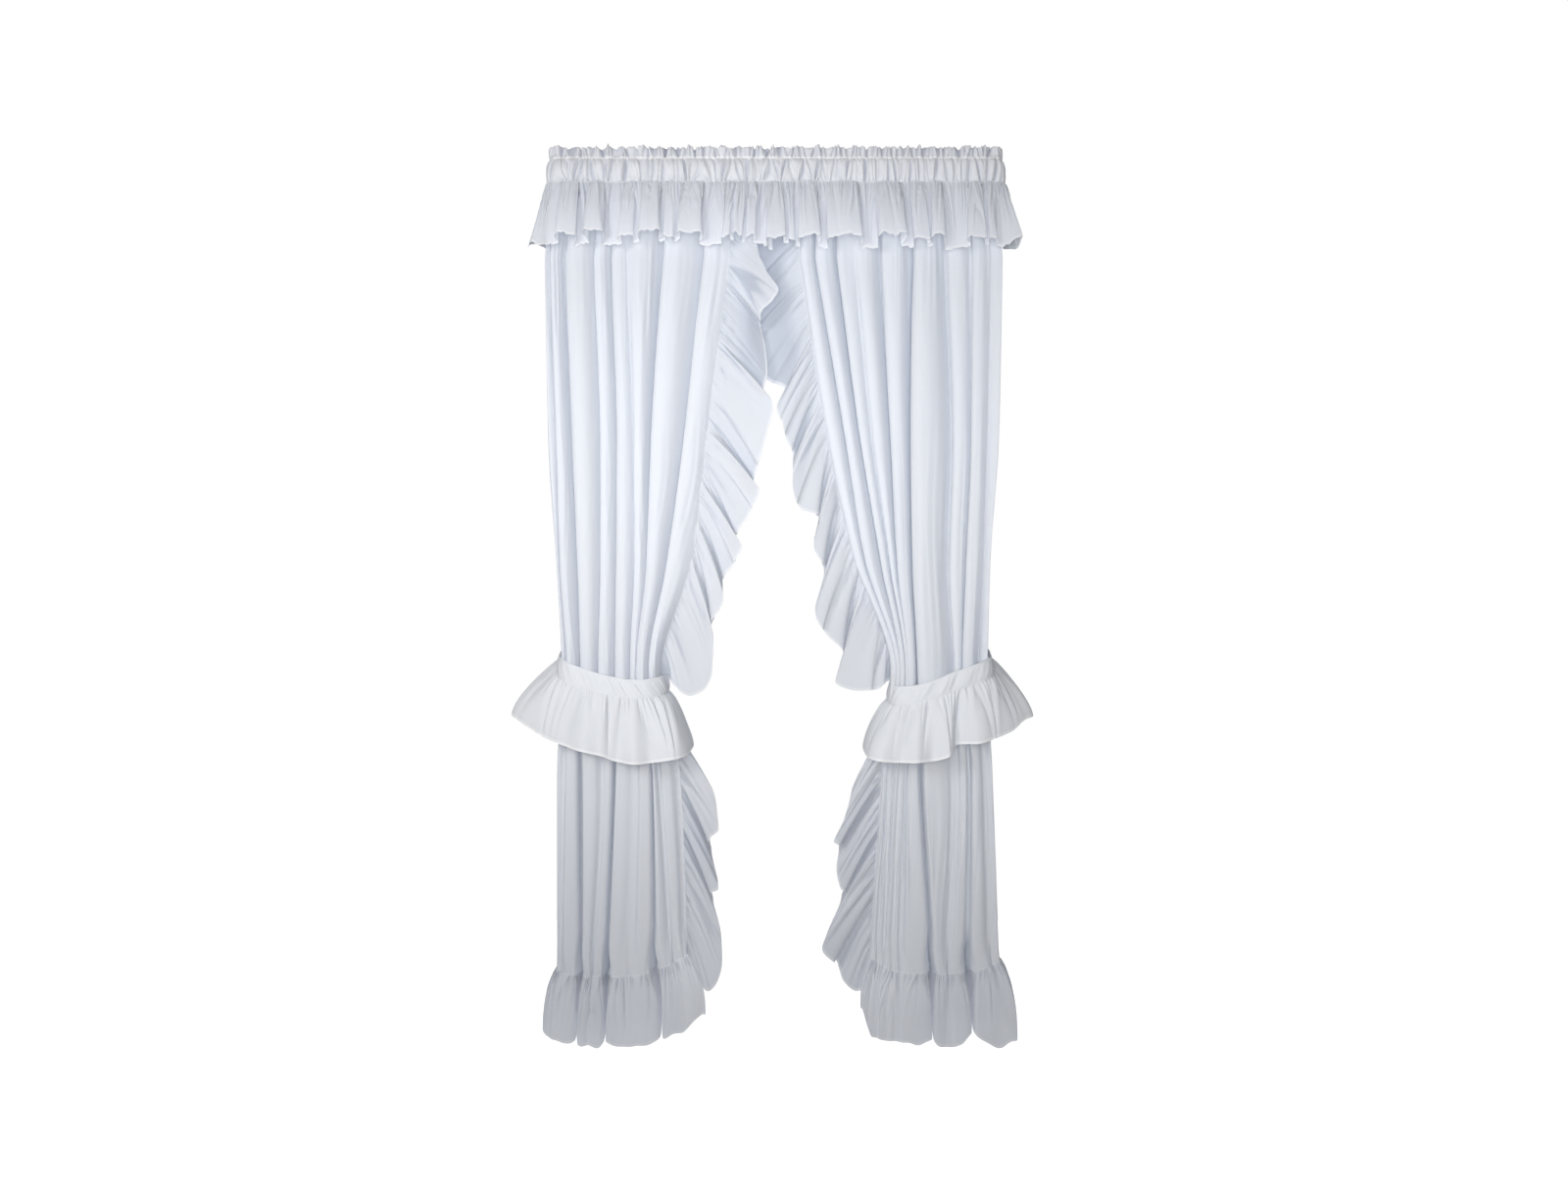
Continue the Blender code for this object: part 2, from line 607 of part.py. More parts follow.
for old in list(bpy.data.objects):
    bpy.data.objects.remove(old, do_unlink=True)
curtains = bpy.data.collections.new("priscilla_curtains")
bpy.context.scene.collection.children.link(curtains)

for hand in ("left", "right"):
    heading(hand)
    panel(hand)
    valance(hand)
    edge_ruffle(hand)
    hem_ruffle(hand)
    tie_band(hand)
    tie_ruffle(hand)
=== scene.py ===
# %% [markdown]
# # A pair of priscilla curtains
# Two gathered panels of fine white batiste hang from one rod. A ruffle falls from the rod pocket, another
# runs down each leading edge and a third along each foot, and a ruffled tie holds each panel aside.
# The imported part's solids are in the same frame. This lesson dresses them in thin cloth, piece by piece:
# each piece is a grid of points laid on its folds, with finer gathers and creases added by formulas.

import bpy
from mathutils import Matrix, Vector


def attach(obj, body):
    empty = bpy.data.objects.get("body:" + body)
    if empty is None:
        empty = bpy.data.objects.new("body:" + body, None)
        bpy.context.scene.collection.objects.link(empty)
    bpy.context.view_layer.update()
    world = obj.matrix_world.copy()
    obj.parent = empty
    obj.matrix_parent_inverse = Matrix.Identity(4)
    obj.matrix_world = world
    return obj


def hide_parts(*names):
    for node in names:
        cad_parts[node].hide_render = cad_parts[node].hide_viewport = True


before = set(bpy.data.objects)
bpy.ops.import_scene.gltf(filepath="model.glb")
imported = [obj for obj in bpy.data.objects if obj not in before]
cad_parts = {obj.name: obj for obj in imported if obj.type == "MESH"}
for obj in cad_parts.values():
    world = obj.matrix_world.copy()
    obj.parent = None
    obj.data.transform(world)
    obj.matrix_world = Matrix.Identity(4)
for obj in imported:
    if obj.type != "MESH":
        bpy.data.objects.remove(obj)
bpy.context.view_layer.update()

# %% Modules and units
from collections import namedtuple

import bpy
import numpy as np

MM = 0.001  # the tables and shapes below are in millimetres

# %% [markdown]
# ## Curves and unevenness
# Cloth is never regular, yet a script has to give the same cloth each time. Folds run smoothly through
# tables of places, and small gathers come from sums of sine waves whose lengths don't repeat.
# A simulation could make the gathers too, but it wouldn't keep each fold where the real one hangs.

# %% A smooth line through a table


def through(stations, values, at):
    """A monotone cubic through one value, or one row of values, at each station."""
    order = np.argsort(stations)
    x = np.asarray(stations, float)[order]
    y = np.asarray(values, float)[order].reshape(len(x), -1)
    step = np.diff(x)[:, None]
    rise = np.diff(y, axis=0) / step
    slope = np.zeros_like(y)
    before, after = rise[:-1], rise[1:]
    same_way = before * after > 0
    mean = 2 * before * after / np.where(same_way, before + after, 1.0)
    slope[1:-1] = np.where(same_way, mean, 0.0)
    slope[0], slope[-1] = rise[0], rise[-1]
    at = np.clip(np.atleast_1d(np.asarray(at, float)), x[0], x[-1])
    i = np.clip(np.searchsorted(x, at, side="right") - 1, 0, len(x) - 2)
    t = ((at - x[i]) / step[i, 0])[:, None]
    found = (
        (1 + 2 * t) * (1 - t) ** 2 * y[i]
        + t * (1 - t) ** 2 * step[i] * slope[i]
        + t**2 * (3 - 2 * t) * y[i + 1]
        + t**2 * (t - 1) * step[i] * slope[i + 1]
    )
    return found if np.ndim(values) > 1 else found[:, 0]


# %% Uneven waves and puffed gathers


def uneven(along, pitch, seed):
    """A wave of about that pitch that never repeats, mostly between -1 and 1."""
    chance = np.random.default_rng(seed)
    longer = chance.uniform(0.62, 1.7, 5)
    start = chance.uniform(0, 2 * np.pi, 5)
    waves = [np.sin(2 * np.pi * along / (pitch * long) + first) for long, first in zip(longer, start)]
    return np.sum(waves, axis=0) / 2.6


# Each piece's first seed. It counts on from there for each wave that it adds.
SEEDS = {
    "left": {"panel": 11, "hem": 61, "edge": 101, "heading": 151, "valance": 191, "band": 231, "tie": 271},
    "right": {"panel": 37, "hem": 83, "edge": 131, "heading": 173, "valance": 211, "band": 257, "tie": 293},
}


def gathers(along, pitch, seed):
    """Rounded puffs with a crease between each two, of uneven width and height."""
    turn = np.pi * (along / pitch + 0.42 * uneven(along, 4.3 * pitch, seed))
    height = 0.62 + 0.38 * uneven(along, 2.9 * pitch, seed + 1)
    return height * (2 * np.abs(np.sin(turn)) ** 0.8 - 1.2)


def fade(distance, start, end):
    """1 up to start and 0 from end on."""
    t = np.clip((np.asarray(distance, float) - start) / (end - start), 0, 1)
    return 1 - t * t * (3 - 2 * t)


# A fold's section from its crest to the next valley: the way along the seam, and how much of its
# depth is left. It goes on flat, turns under itself and comes out again in the valley.
TURN = (
    (0.0, 1.0), (0.26, 0.985), (0.50, 0.92), (0.68, 0.76),
    (0.735, 0.54), (0.70, 0.30), (0.76, 0.09), (1.0, 0.0),
)


def turned(depths, steps, rolls):
    """Where points lie between fold lines when each fold rolls over towards the valley beside it.

    depths are the lines' own, steps how many points each stretch gets, rolls how far each stretch is rolled.
    Gives the place along and the place in depth, both counted in fold lines.
    """
    knots = np.linspace(0, 1, len(TURN))
    way, left = np.array(TURN).T
    along, deep = [], []
    for i, (step, roll) in enumerate(zip(steps, rolls)):
        t = np.arange(step) / step
        falling = depths[i] > depths[i + 1]
        from_crest = t if falling else 1 - t
        rolled, kept = through(knots, way, from_crest), through(knots, left, from_crest)
        place = rolled if falling else 1 - rolled
        share = 1 - kept if falling else kept
        smooth = t * t * (3 - 2 * t)
        along.append(i + t + (place - t) * roll)
        deep.append(i + smooth + (share - smooth) * min(roll, 1))
    last = [len(depths) - 1]
    return np.concatenate(along + [last]), np.concatenate(deep + [last])


# %% [markdown]
# ## From a grid to a piece of cloth
# Every sheet here is rows of points, so one function turns any of them into a mesh. It also lays a cloth
# map over it, in which one unit is a metre of cloth, so that weave and stitches keep their real size, and
# it stores for each point how far it is from its seam and its free hem, and how much painted shade it
# gets, which is most in the hollows of its folds.

# %% Lengths along a grid


def lengths(grid, axis):
    """Distance along each row (axis 1) or column (axis 0) from its start."""
    steps = np.linalg.norm(np.diff(grid, axis=axis), axis=2)
    first = np.zeros_like(np.take(steps, [0], axis=axis))
    return np.concatenate([first, np.cumsum(steps, axis=axis)], axis=axis)


def outward(grid):
    """Unit normals of a grid, turned towards the room."""
    normal = np.cross(np.gradient(grid, axis=0), np.gradient(grid, axis=1))
    normal /= np.maximum(np.linalg.norm(normal, axis=2), 1e-9)[..., None]
    if normal[..., 1].mean() > 0:
        normal = -normal
    return normal


# %% The mesh of a sheet

FAR = 900.0  # the distance to a hem that a piece doesn't have
pieces = {}


def placed(name, data):
    """A new object in the scene."""
    made = bpy.data.objects.new(name, data)
    bpy.context.scene.collection.objects.link(made)
    return made


def sheet(name, grid, seam, hem, painted_shade):
    """A mesh object from a grid in millimetres, with its cloth map and its three stored numbers."""
    rows, columns = grid.shape[:2]
    number = np.arange(rows * columns).reshape(rows, columns)
    corners = (number[:-1, :-1], number[:-1, 1:], number[1:, 1:], number[1:, :-1])
    corners = np.stack(corners, axis=-1).reshape(-1, 4)
    mesh = bpy.data.meshes.new(name)
    mesh.from_pydata((grid * MM).reshape(-1, 3).tolist(), [], corners.tolist())
    for label, value in (("seam", seam), ("hem", hem), ("painted_shade", painted_shade)):
        layer = mesh.attributes.new(label, "FLOAT", "POINT")
        layer.data.foreach_set("value", np.broadcast_to(value, (rows, columns)).astype(np.float32).ravel())
    across, down = lengths(grid, 1), lengths(grid, 0)
    widest = across[:, -1:].max()
    level = np.broadcast_to(down.mean(axis=1)[:, None], across.shape)
    cloth_map = np.stack([across / across[:, -1:] * widest, level], axis=-1)
    uv = mesh.uv_layers.new(name="cloth")
    uv.data.foreach_set("uv", (cloth_map.reshape(-1, 2)[corners.ravel()] * MM).astype(np.float32).ravel())
    mesh.shade_smooth()
    pieces[name] = placed(name, mesh)
    area = sum(face.area for face in mesh.polygons)
    print(f"{name}: {2 * len(corners)} triangles, {area:.3f} square metres")


def ruffle(name, grid, painted_shade, seam_axis=0, lap=0.0):
    """The sheet of a ruffle whose seam is its grid's first row, or its first column for seam_axis 1."""
    from_seam = lengths(grid, seam_axis)
    sheet(name, grid, from_seam + lap, np.take(from_seam, [-1], axis=seam_axis) - from_seam, painted_shade)


# %% [markdown]
# ## The panels
# A panel is one width of cloth that hangs in long folds. Light comes from the left, and each fold shows a
# narrow dark valley, a crisp edge just right of it, and then a long slope that turns slowly away. A plain
# sine wave would look like corrugated iron, so the folds are drawn one by one: where each crest and valley
# stands at six heights, and how far it stands out.

# %% Where the folds stand

PANEL_TOP_Z = -91.0
FOLD_HEIGHTS = (-270.0, -700.0, -1000.0, -1240.0, -1500.0, -1950.0)
Fold = namedtuple("Fold", "name x_top x_mid x_knee x_tie x_low x_hem out_top out_tie out_hem")
PANEL_FOLDS = {
    "left": (
        Fold("wall edge", -544, -538, -518, -504, -514, -512, -84, -42, -60),
        Fold("return", -548, -542, -521, -508, -520, -518, -34, -14, -22),
        Fold("outer crest", -544, -533, -513, -500, -511, -513, 16, 28, 20),
        Fold("soft valley 1", -533, -515, -506, -486, -498, -506, -2, 2, 16),
        Fold("crest 1", -519, -500, -488, -471, -478, -482, 22, 38, 32),
        Fold("valley 2", -503, -485, -469, -457, -459, -457, -12, -2, -30),
        Fold("crest 2", -466, -448, -440, -436, -433, -440, 26, 42, 36),
        Fold("valley 3", -429, -411, -410, -413, -406, -431, -14, 4, 24),
        Fold("crest 3", -406, -389, -389, -391, -393, -416, 20, 38, 30),
        Fold("valley 4", -383, -367, -369, -371, -380, -399, -34, -6, -34),
        Fold("crest 4", -367, -352, -351, -354, -353, -368, 24, 42, 36),
        Fold("soft valley 5", -351, -337, -334, -338, -328, -341, 8, 10, 28),
        Fold("crest 5", -310, -313, -316, -329, -307, -312, 27, 40, 36),
        Fold("valley 6", -269, -292, -299, -319, -290, -285, -28, -4, -38),
        Fold("crest 6", -230, -251, -280, -308, -283, -262, 26, 42, 32),
        Fold("valley 7", -169, -211, -255, -295, -274, -241, -32, 2, 18),
        Fold("crest 7", -141, -188, -229, -284, -252, -224, 16, 30, 24),
        Fold("seam", -110, -165, -200, -271, -227, -207, 0, -4, 8),
    ),
    "right": (
        Fold("wall edge", 534, 526, 506, 496, 510, 526, -84, -42, -60),
        Fold("return", 538, 529, 508, 502, 514, 529, -34, -14, -22),
        Fold("outer crest", 533, 523, 502, 495, 506, 523, 18, 28, 20),
        Fold("soft valley 1", 509, 500, 491, 477, 494, 507, 2, 4, 14),
        Fold("crest 1", 486, 482, 474, 461, 477, 488, 20, 36, 30),
        Fold("valley 2", 464, 462, 450, 443, 456, 452, -8, -6, 8),
        Fold("crest 2", 432, 441, 430, 432, 440, 420, 14, 30, 34),
        Fold("valley 3", 401, 417, 408, 420, 424, 402, -16, 4, 24),
        Fold("crest 3", 347, 348, 349, 362, 366, 385, 28, 44, 38),
        Fold("valley 4", 329, 322, 326, 334, 341, 369, -36, -6, -38),
        Fold("crest 4", 288, 298, 308, 322, 323, 331, 22, 38, 32),
        Fold("valley 5", 246, 274, 290, 314, 304, 290, -26, 2, 18),
        Fold("crest 5", 222, 244, 276, 309, 298, 281, 20, 34, 26),
        Fold("soft valley 6", 185, 225, 269, 306, 292, 271, 4, 14, 20),
        Fold("crest 6", 172, 214, 262, 303, 286, 262, 18, 36, 26),
        Fold("valley 7", 146, 202, 253, 297, 278, 252, -26, 2, 16),
        Fold("crest 7", 121, 180, 240, 292, 271, 244, 24, 34, 22),
        Fold("valley 8", 97, 169, 216, 287, 264, 236, -26, 6, 16),
        Fold("crest 8", 76, 142, 202, 281, 258, 229, 16, 28, 22),
        Fold("seam", 55, 120, 187, 275, 250, 220, 0, -4, 8),
    ),
}
# Height of the panel's foot, where the hem ruffle is sewn on, and of the ruffle's own foot.
FOOT_SEAM = {
    "left": ((-520, -1948), (-420, -1957), (-339, -1955), (-246, -1928), (-207, -1909)),
    "right": ((220, -1916), (290, -1948), (371, -1950), (450, -1948), (529, -1926)),
}
HEM_FOOT = {
    "left": ((-548, -2072), (-510, -2094), (-430, -2108), (-300, -2104), (-218, -2072), (-170, -2034)),
    "right": (
        (200, -2020), (224, -2086), (300, -2098), (400, -2108), (430, -2104),
        (452, -2084), (480, -2096), (516, -2108), (556, -2102), (578, -2084),
    ),
}
# How far the hem ruffle's ends swing out past the panel's own edges at its foot, how far its bells stand
# out there, and how much higher their corners are.
HEM_SPREAD = {"left": (-30.0, 44.0), "right": (40.0, -24.0)}
HEM_SWELL, BELL_RISE = 46.0, 14.0
VALLEY_RISE = 18.0  # how much higher the hem hangs in a valley than on a bell

# %% Height and depth of the folds down the panel

# The folds are almost flat where they are sewn into the heading, and reach their full depth below it.
TUCK_HEIGHTS = (PANEL_TOP_Z, -200.0, FOLD_HEIGHTS[0])
TUCK_SHARES = (0.976, 0.990, 1.0)
DEPTH_HEIGHTS = (PANEL_TOP_Z, -200.0, -450.0, -1000.0, -1190.0, -1300.0, -1430.0, -1560.0, -1950.0)
RETURN_HEIGHTS = (PANEL_TOP_Z, -300.0, -1240.0, -1560.0, -1950.0)
PANEL_FOOT_Z = -1950.0


def fold_lines(side, z):
    """x and out of every fold line of a panel, one row for each height in z."""
    folds = PANEL_FOLDS[side]
    across = np.array([fold[1:7] for fold in folds], float)
    out_top, out_tie, out_hem = (np.array([getattr(fold, name) for fold in folds], float)
                                 for name in ("out_top", "out_tie", "out_hem"))
    x = through(FOLD_HEIGHTS, across.T, z)
    x = x[:, -1:] + (x - x[:, -1:]) * through(TUCK_HEIGHTS, TUCK_SHARES, z)[:, None]
    depths = (0.15 * out_top - 5, 0.6 * out_top - 2, out_top, 0.6 * out_top + 0.4 * out_tie,
              out_tie, out_tie, 0.3 * out_tie + 0.7 * out_hem, out_hem, out_hem)
    out = through(DEPTH_HEIGHTS, depths, z)
    wall = (out_top[0], out_top[0], out_tie[0], out_hem[0], out_hem[0])
    out[:, 0] = through(RETURN_HEIGHTS, wall, z)
    return x, out


# %% The section of a fold

FIRST_FOLD = 3  # the lines before this one take the cloth round the corner to the wall
CREST_SHARE = (0.20, 0.34, 0.26, 0.40, 0.22, 0.30, 0.36, 0.24)  # of a fold's width, from its left side


def with_leaning_crests(side, x):
    """Each crest moved to stand just right of the valley on its left."""
    leant = x.copy()
    for i in range(FIRST_FOLD + 1, x.shape[1] - 1, 2):
        left, right = (i - 1, i + 1) if side == "left" else (i + 1, i - 1)
        leant[:, i] = x[:, left] + (x[:, right] - x[:, left]) * CREST_SHARE[i // 2 % len(CREST_SHARE)]
    return leant


OVERHANG = 0.26  # how far a fold's steep side leans over its valley, for each millimetre of its depth


def folded(x, out, columns, steep=1.6, gentle=2.1, overhang=OVERHANG):
    """A section's points and painted shade: steep from a valley to the crest beside it, gentle beyond."""
    made_x, made_out, painted_shade = [x[:, :1]], [out[:, :1]], [np.zeros_like(x[:, :1])]
    widths = np.abs(np.diff(x, axis=1)).mean(axis=0)
    for i in range(x.shape[1] - 1):
        t = np.arange(1, columns[i] + 1) / columns[i]
        rising = out[:, i + 1 : i + 2] > out[:, i : i + 1]
        neighbour = widths[min(i + 1, len(widths) - 1)] if rising.mean() > 0.5 else widths[max(i - 1, 0)]
        steep_side = widths[i] < neighbour and i >= FIRST_FOLD - 1
        power = steep if steep_side else gentle
        from_valley = np.where(rising, t, 1 - t)
        share = 1 - (1 - from_valley) ** power
        low, high = np.minimum(out[:, i], out[:, i + 1]), np.maximum(out[:, i], out[:, i + 1])
        start, run = x[:, i : i + 1], x[:, i + 1 : i + 2] - x[:, i : i + 1]
        lean = np.minimum(overhang * (high - low)[:, None], 0.5 * neighbour) * steep_side
        to_valley = np.where(rising, -np.sign(run), np.sign(run))
        made_x.append(start + run * t + to_valley * lean * np.sin(np.pi * from_valley**1.5))
        made_out.append(low[:, None] + (high - low)[:, None] * share)
        # Painted shade: most at the bottom of a deep fold's valley, none round the corner to the wall.
        painted_shade.append((1 - share) * np.clip((high - low)[:, None] / 50, 0, 1) * (i >= FIRST_FOLD - 1))
    return [np.concatenate(part, axis=1) for part in (made_x, made_out, painted_shade)]


# %% The panel itself

PANEL_ROWS = 270
COLUMN_WIDTH = 3.0
# How far the folds are rolled into flat lobes: below the tie they touch, and the foot parts them again.
ROLL_HEIGHTS = (PANEL_TOP_Z, -1330.0, -1470.0, -1840.0, -1950.0)
LOBE_ROLLS = (0.0, 0.0, 1.0, 1.15, 0.0)
FLAT_FRONTS = (0.0, 0.0, 0.0, 0.2, 1.0)  # how far each fold has a flat front and steep sides instead
DEEP_VALLEY_OUT = 12  # a valley that stands further back than this at the foot parts two bells
NOTCH_Z, NOTCH_OUT = -1850.0, -58.0  # from this height down, those valleys sink back to here
LOBE_ROLL, BELL_ROLL = 1.3, 2.0  # how far a deep fold rolls over, below the tie and at the ruffle's hem
FULL_ROLL_DEPTH = 60  # a fold this deep rolls all the way
# Painted shade: at the foot, a deep valley's painted shade counts this many times, which paints its notch
# dark.
NOTCH_SHADE = 2.2  # how many times a valley's hollow counts at the foot


def columns_for(side):
    """How many columns each stretch of the section needs, from its length where it is widest."""
    x, out = fold_lines(side, [FOLD_HEIGHTS[0], FOLD_HEIGHTS[-1]])
    length = np.hypot(np.diff(with_leaning_crests(side, x), axis=1), np.diff(out, axis=1)).max(axis=0)
    return np.maximum(np.round(length / COLUMN_WIDTH), 6).astype(int)


def foot_seam(side, x):
    table = np.array(FOOT_SEAM[side], float)
    return through(table[:, 0], table[:, 1], np.ravel(x)).reshape(np.shape(x))


def rolls_for(depths, most):
    """A deep fold rolls over by most, and a shallow one less."""
    rolls = most * np.clip(np.abs(np.diff(depths)) / FULL_ROLL_DEPTH, 0, 1)
    rolls[:FIRST_FOLD] = 0
    return rolls


def partings(side):
    """The fold lines that bound the foot's bells: both edges, and the valleys that stay deep."""
    folds = PANEL_FOLDS[side]
    valleys = [i for i in range(FIRST_FOLD, len(folds) - 1) if folds[i].out_hem < DEEP_VALLEY_OUT]
    return [1] + valleys + [len(folds) - 1]


def section(side, z, columns):
    """The panel's section at heights z: rolled into flat lobes, and drawn in to bells at the foot."""
    z = np.asarray(z, float)
    x, out = fold_lines(side, z)
    roll, flat = through(ROLL_HEIGHTS, LOBE_ROLLS, z), through(ROLL_HEIGHTS, FLAT_FRONTS, z)[:, None]
    rolls = rolls_for(out[-1], LOBE_ROLL)
    near_foot = 1 - fade(NOTCH_Z - z, 0, NOTCH_Z - PANEL_FOOT_Z)[:, None]
    valleys = partings(side)[1:-1]
    out[:, valleys] += (NOTCH_OUT - out[:, valleys]) * near_foot
    leaning = with_leaning_crests(side, x)
    made_x, made_out, painted_shade = folded(leaning, out, columns)
    flat_x, flat_out, notch = folded(x, out, columns, 5.0, 7.0, 0.0)
    made_x, made_out = made_x + (flat_x - made_x) * flat, made_out + (flat_out - made_out) * flat
    # Painted shade in the notches at the foot, from the flat-fronted section's valleys.
    painted_shade = painted_shade + (NOTCH_SHADE * notch - painted_shade) * flat
    along, deep = turned(out[-1], columns, rolls)
    lobe_x = through(np.arange(x.shape[1]), leaning.T, along).T
    lobe_out = through(np.arange(x.shape[1]), out.T, deep).T
    roll = np.reshape(roll, (-1, 1))
    return made_x + (lobe_x - made_x) * roll, made_out + (lobe_out - made_out) * roll, painted_shade


def panel_grid(side):
    z = np.linspace(PANEL_TOP_Z, PANEL_FOOT_Z, PANEL_ROWS)
    x, out, painted_shade = section(side, z, columns_for(side))
    # Faint secondary folds: they run with the main ones, so they are drawn across the cloth's own width.
    width = np.concatenate([[0], np.cumsum(np.hypot(np.diff(x, axis=1), np.diff(out, axis=1)).mean(axis=0))])
    seed = SEEDS[side]["panel"]
    wander = 9 * uneven(z, 700, seed)[:, None]
    calm = np.clip((PANEL_TOP_Z - z) / 60, 0, 1)[:, None] * (0.55 + 0.45 * uneven(z, 520, seed + 1)[:, None])
    broad = 1.7 * uneven(width[None] + wander, 34, seed + 2)
    ripple = broad + 0.8 * uneven(width[None] - wander, 13, seed + 3)
    to_edge = width[-1] - width
    # Puckers that the ruffle's seam draws into the leading edge.
    rows = np.linspace(0, PANEL_TOP_Z - PANEL_FOOT_Z, PANEL_ROWS)[:, None]
    slant = rows + 0.5 * to_edge[None]
    pucker = 1.5 * uneven(slant, 17, seed + 6) * fade(to_edge, 2, 34)[None]
    pucker *= np.clip(to_edge / 5, 0.25, 1)[None]
    out = out + ripple * calm * np.minimum(1, to_edge / 14) + pucker
    down = (z - PANEL_TOP_Z) / (PANEL_FOOT_Z - PANEL_TOP_Z)
    height = PANEL_TOP_Z + down[:, None] * (foot_seam(side, x) - PANEL_TOP_Z)
    return np.stack([x, -out, height], axis=-1), painted_shade


panels = {}
for hand in ("left", "right"):
    cloth, painted_shade = panel_grid(hand)
    panels[hand] = cloth
    to_edge = lengths(cloth, 1)[:, -1:] - lengths(cloth, 1)
    to_foot = lengths(cloth, 0)[-1:] - lengths(cloth, 0)
    sheet(hand + "_panel_cloth", cloth, np.minimum(to_edge, to_foot), FAR, painted_shade)

# %% [markdown]
# ## The foot ruffles
# A strip a third longer than the panel's foot is gathered onto it. Close to the seam it stands in many
# small puffs; lower down they join into a few broad bells that swell out beyond the panel. A bell is
# drawn between each two of the panel's deep valleys, because the valleys part the real ruffle too.

# %% The foot ruffles

FRILL_ROWS = 36
SEAM_LAP = 3.0  # a ruffle starts this far in from the edge that it is sewn to, and a little behind it
# Painted shade: the least hollow of the hem ruffles. The edge ruffles have 0.8 of it, and 1.9 near the floor.
IN_SHADE = 0.5
RUFFLE_DEPTH = 152  # of a 6 in strip


def puffed(grid, fall, along, seed, fine, middle, fine_end=46):
    """A ruffle's grid with gathers added, and how far each point lies in a crease.

    fine and middle are pitch and height. The fine gathers die out at fine_end, and a few creases last longer.
    """
    down = fall * RUFFLE_DEPTH
    small = fine[1] * fade(down, 2, fine_end) * np.clip(down / 7, 0.12, 1)
    large = middle[1] * fade(down, 25, 150) * np.clip(down / 16, 0.08, 1)
    fan = along + 0.2 * down * uneven(along, 70, seed + 9)
    push = small * gathers(fan, fine[0], seed) + 0.8 * large * gathers(fan, middle[0], seed + 5)
    return grid + outward(grid) * push[..., None], np.clip(-push / 3, 0, 1)


def hem_ruffle_grid(side):
    x, out = fold_lines(side, [PANEL_FOOT_Z])
    columns = columns_for(side) * 2
    top_x, top_out, painted_shade = section(side, [PANEL_FOOT_Z], columns)
    outer, inner = HEM_SPREAD[side]
    along = (x - x[:, 1:2]) / (x[:, -1:] - x[:, 1:2])
    line_x = with_leaning_crests(side, x + outer * (1 - along) ** 6 + inner * along**3)[0]
    foot_out = (0.35 * out + HEM_SWELL)[0]
    foot_out[partings(side)[1:-1]] = NOTCH_OUT
    foot_out[:2] = out[0, :2]
    places, deep = turned(foot_out, columns, rolls_for(foot_out, BELL_ROLL))
    foot_x = through(np.arange(len(line_x)), line_x, places)[None]
    foot_out = through(np.arange(len(foot_out)), foot_out, deep)[None]
    fall = np.linspace(0, 1, FRILL_ROWS)[:, None]
    swell = 1 - (1 - fall) ** 2.6
    made_x, made_out = top_x + (foot_x - top_x) * swell, top_out + (foot_out - top_out) * swell
    top = foot_seam(side, top_x) + SEAM_LAP
    table = np.array(HEM_FOOT[side], float)
    foot = through(table[:, 0], table[:, 1], foot_x[0])[None] + VALLEY_RISE * fade(foot_out, 0, HEM_SWELL) - 4
    # The deep valleys part the ruffle into bells, whose lower corners are rounded.
    parting = partings(side)
    bell = np.clip(np.searchsorted(parting, places, side="right") - 1, 0, len(parting) - 2)
    first_x, last_x = line_x[np.take(parting, bell)], line_x[np.take(parting, bell + 1)]
    across = np.clip((foot_x[0] - first_x) / (last_x - first_x), 0, 1)
    foot += BELL_RISE * np.abs(2 * across - 1) ** 4 * ((bell < len(parting) - 2) | (across < 0.5))
    foot += 3.0 * uneven(foot_x, 52, 67)
    grid = np.stack([made_x, -made_out, top + (foot - top) * fall], axis=-1)
    grid[:3, :, 1] += np.array([1.2, 0.9, 0.3])[:, None]
    along = lengths(grid, 1)[-1:]
    grid, crease = puffed(grid, fall, along, SEEDS[side]["hem"], (11.0, 5.6), (27.0, 3.0))
    # Painted shade: in the bells' partings, fading down the ruffle, and in the gathers' creases, never less
    # than IN_SHADE.
    return grid, np.maximum(painted_shade * (1 - 0.55 * fall), IN_SHADE + 1.1 * crease)


for hand in ("left", "right"):
    ruffle(hand + "_hem_ruffle_cloth", *hem_ruffle_grid(hand))

# %% [markdown]
# ## The edge ruffles
# Another strip is gathered down the leading edge. It has to hang straight down and still follow a slanting
# seam, so it falls in a cascade: each fold leaves the seam, stands away from it, and drops below the place
# where it started.

# %% Where the cascade's folds lie

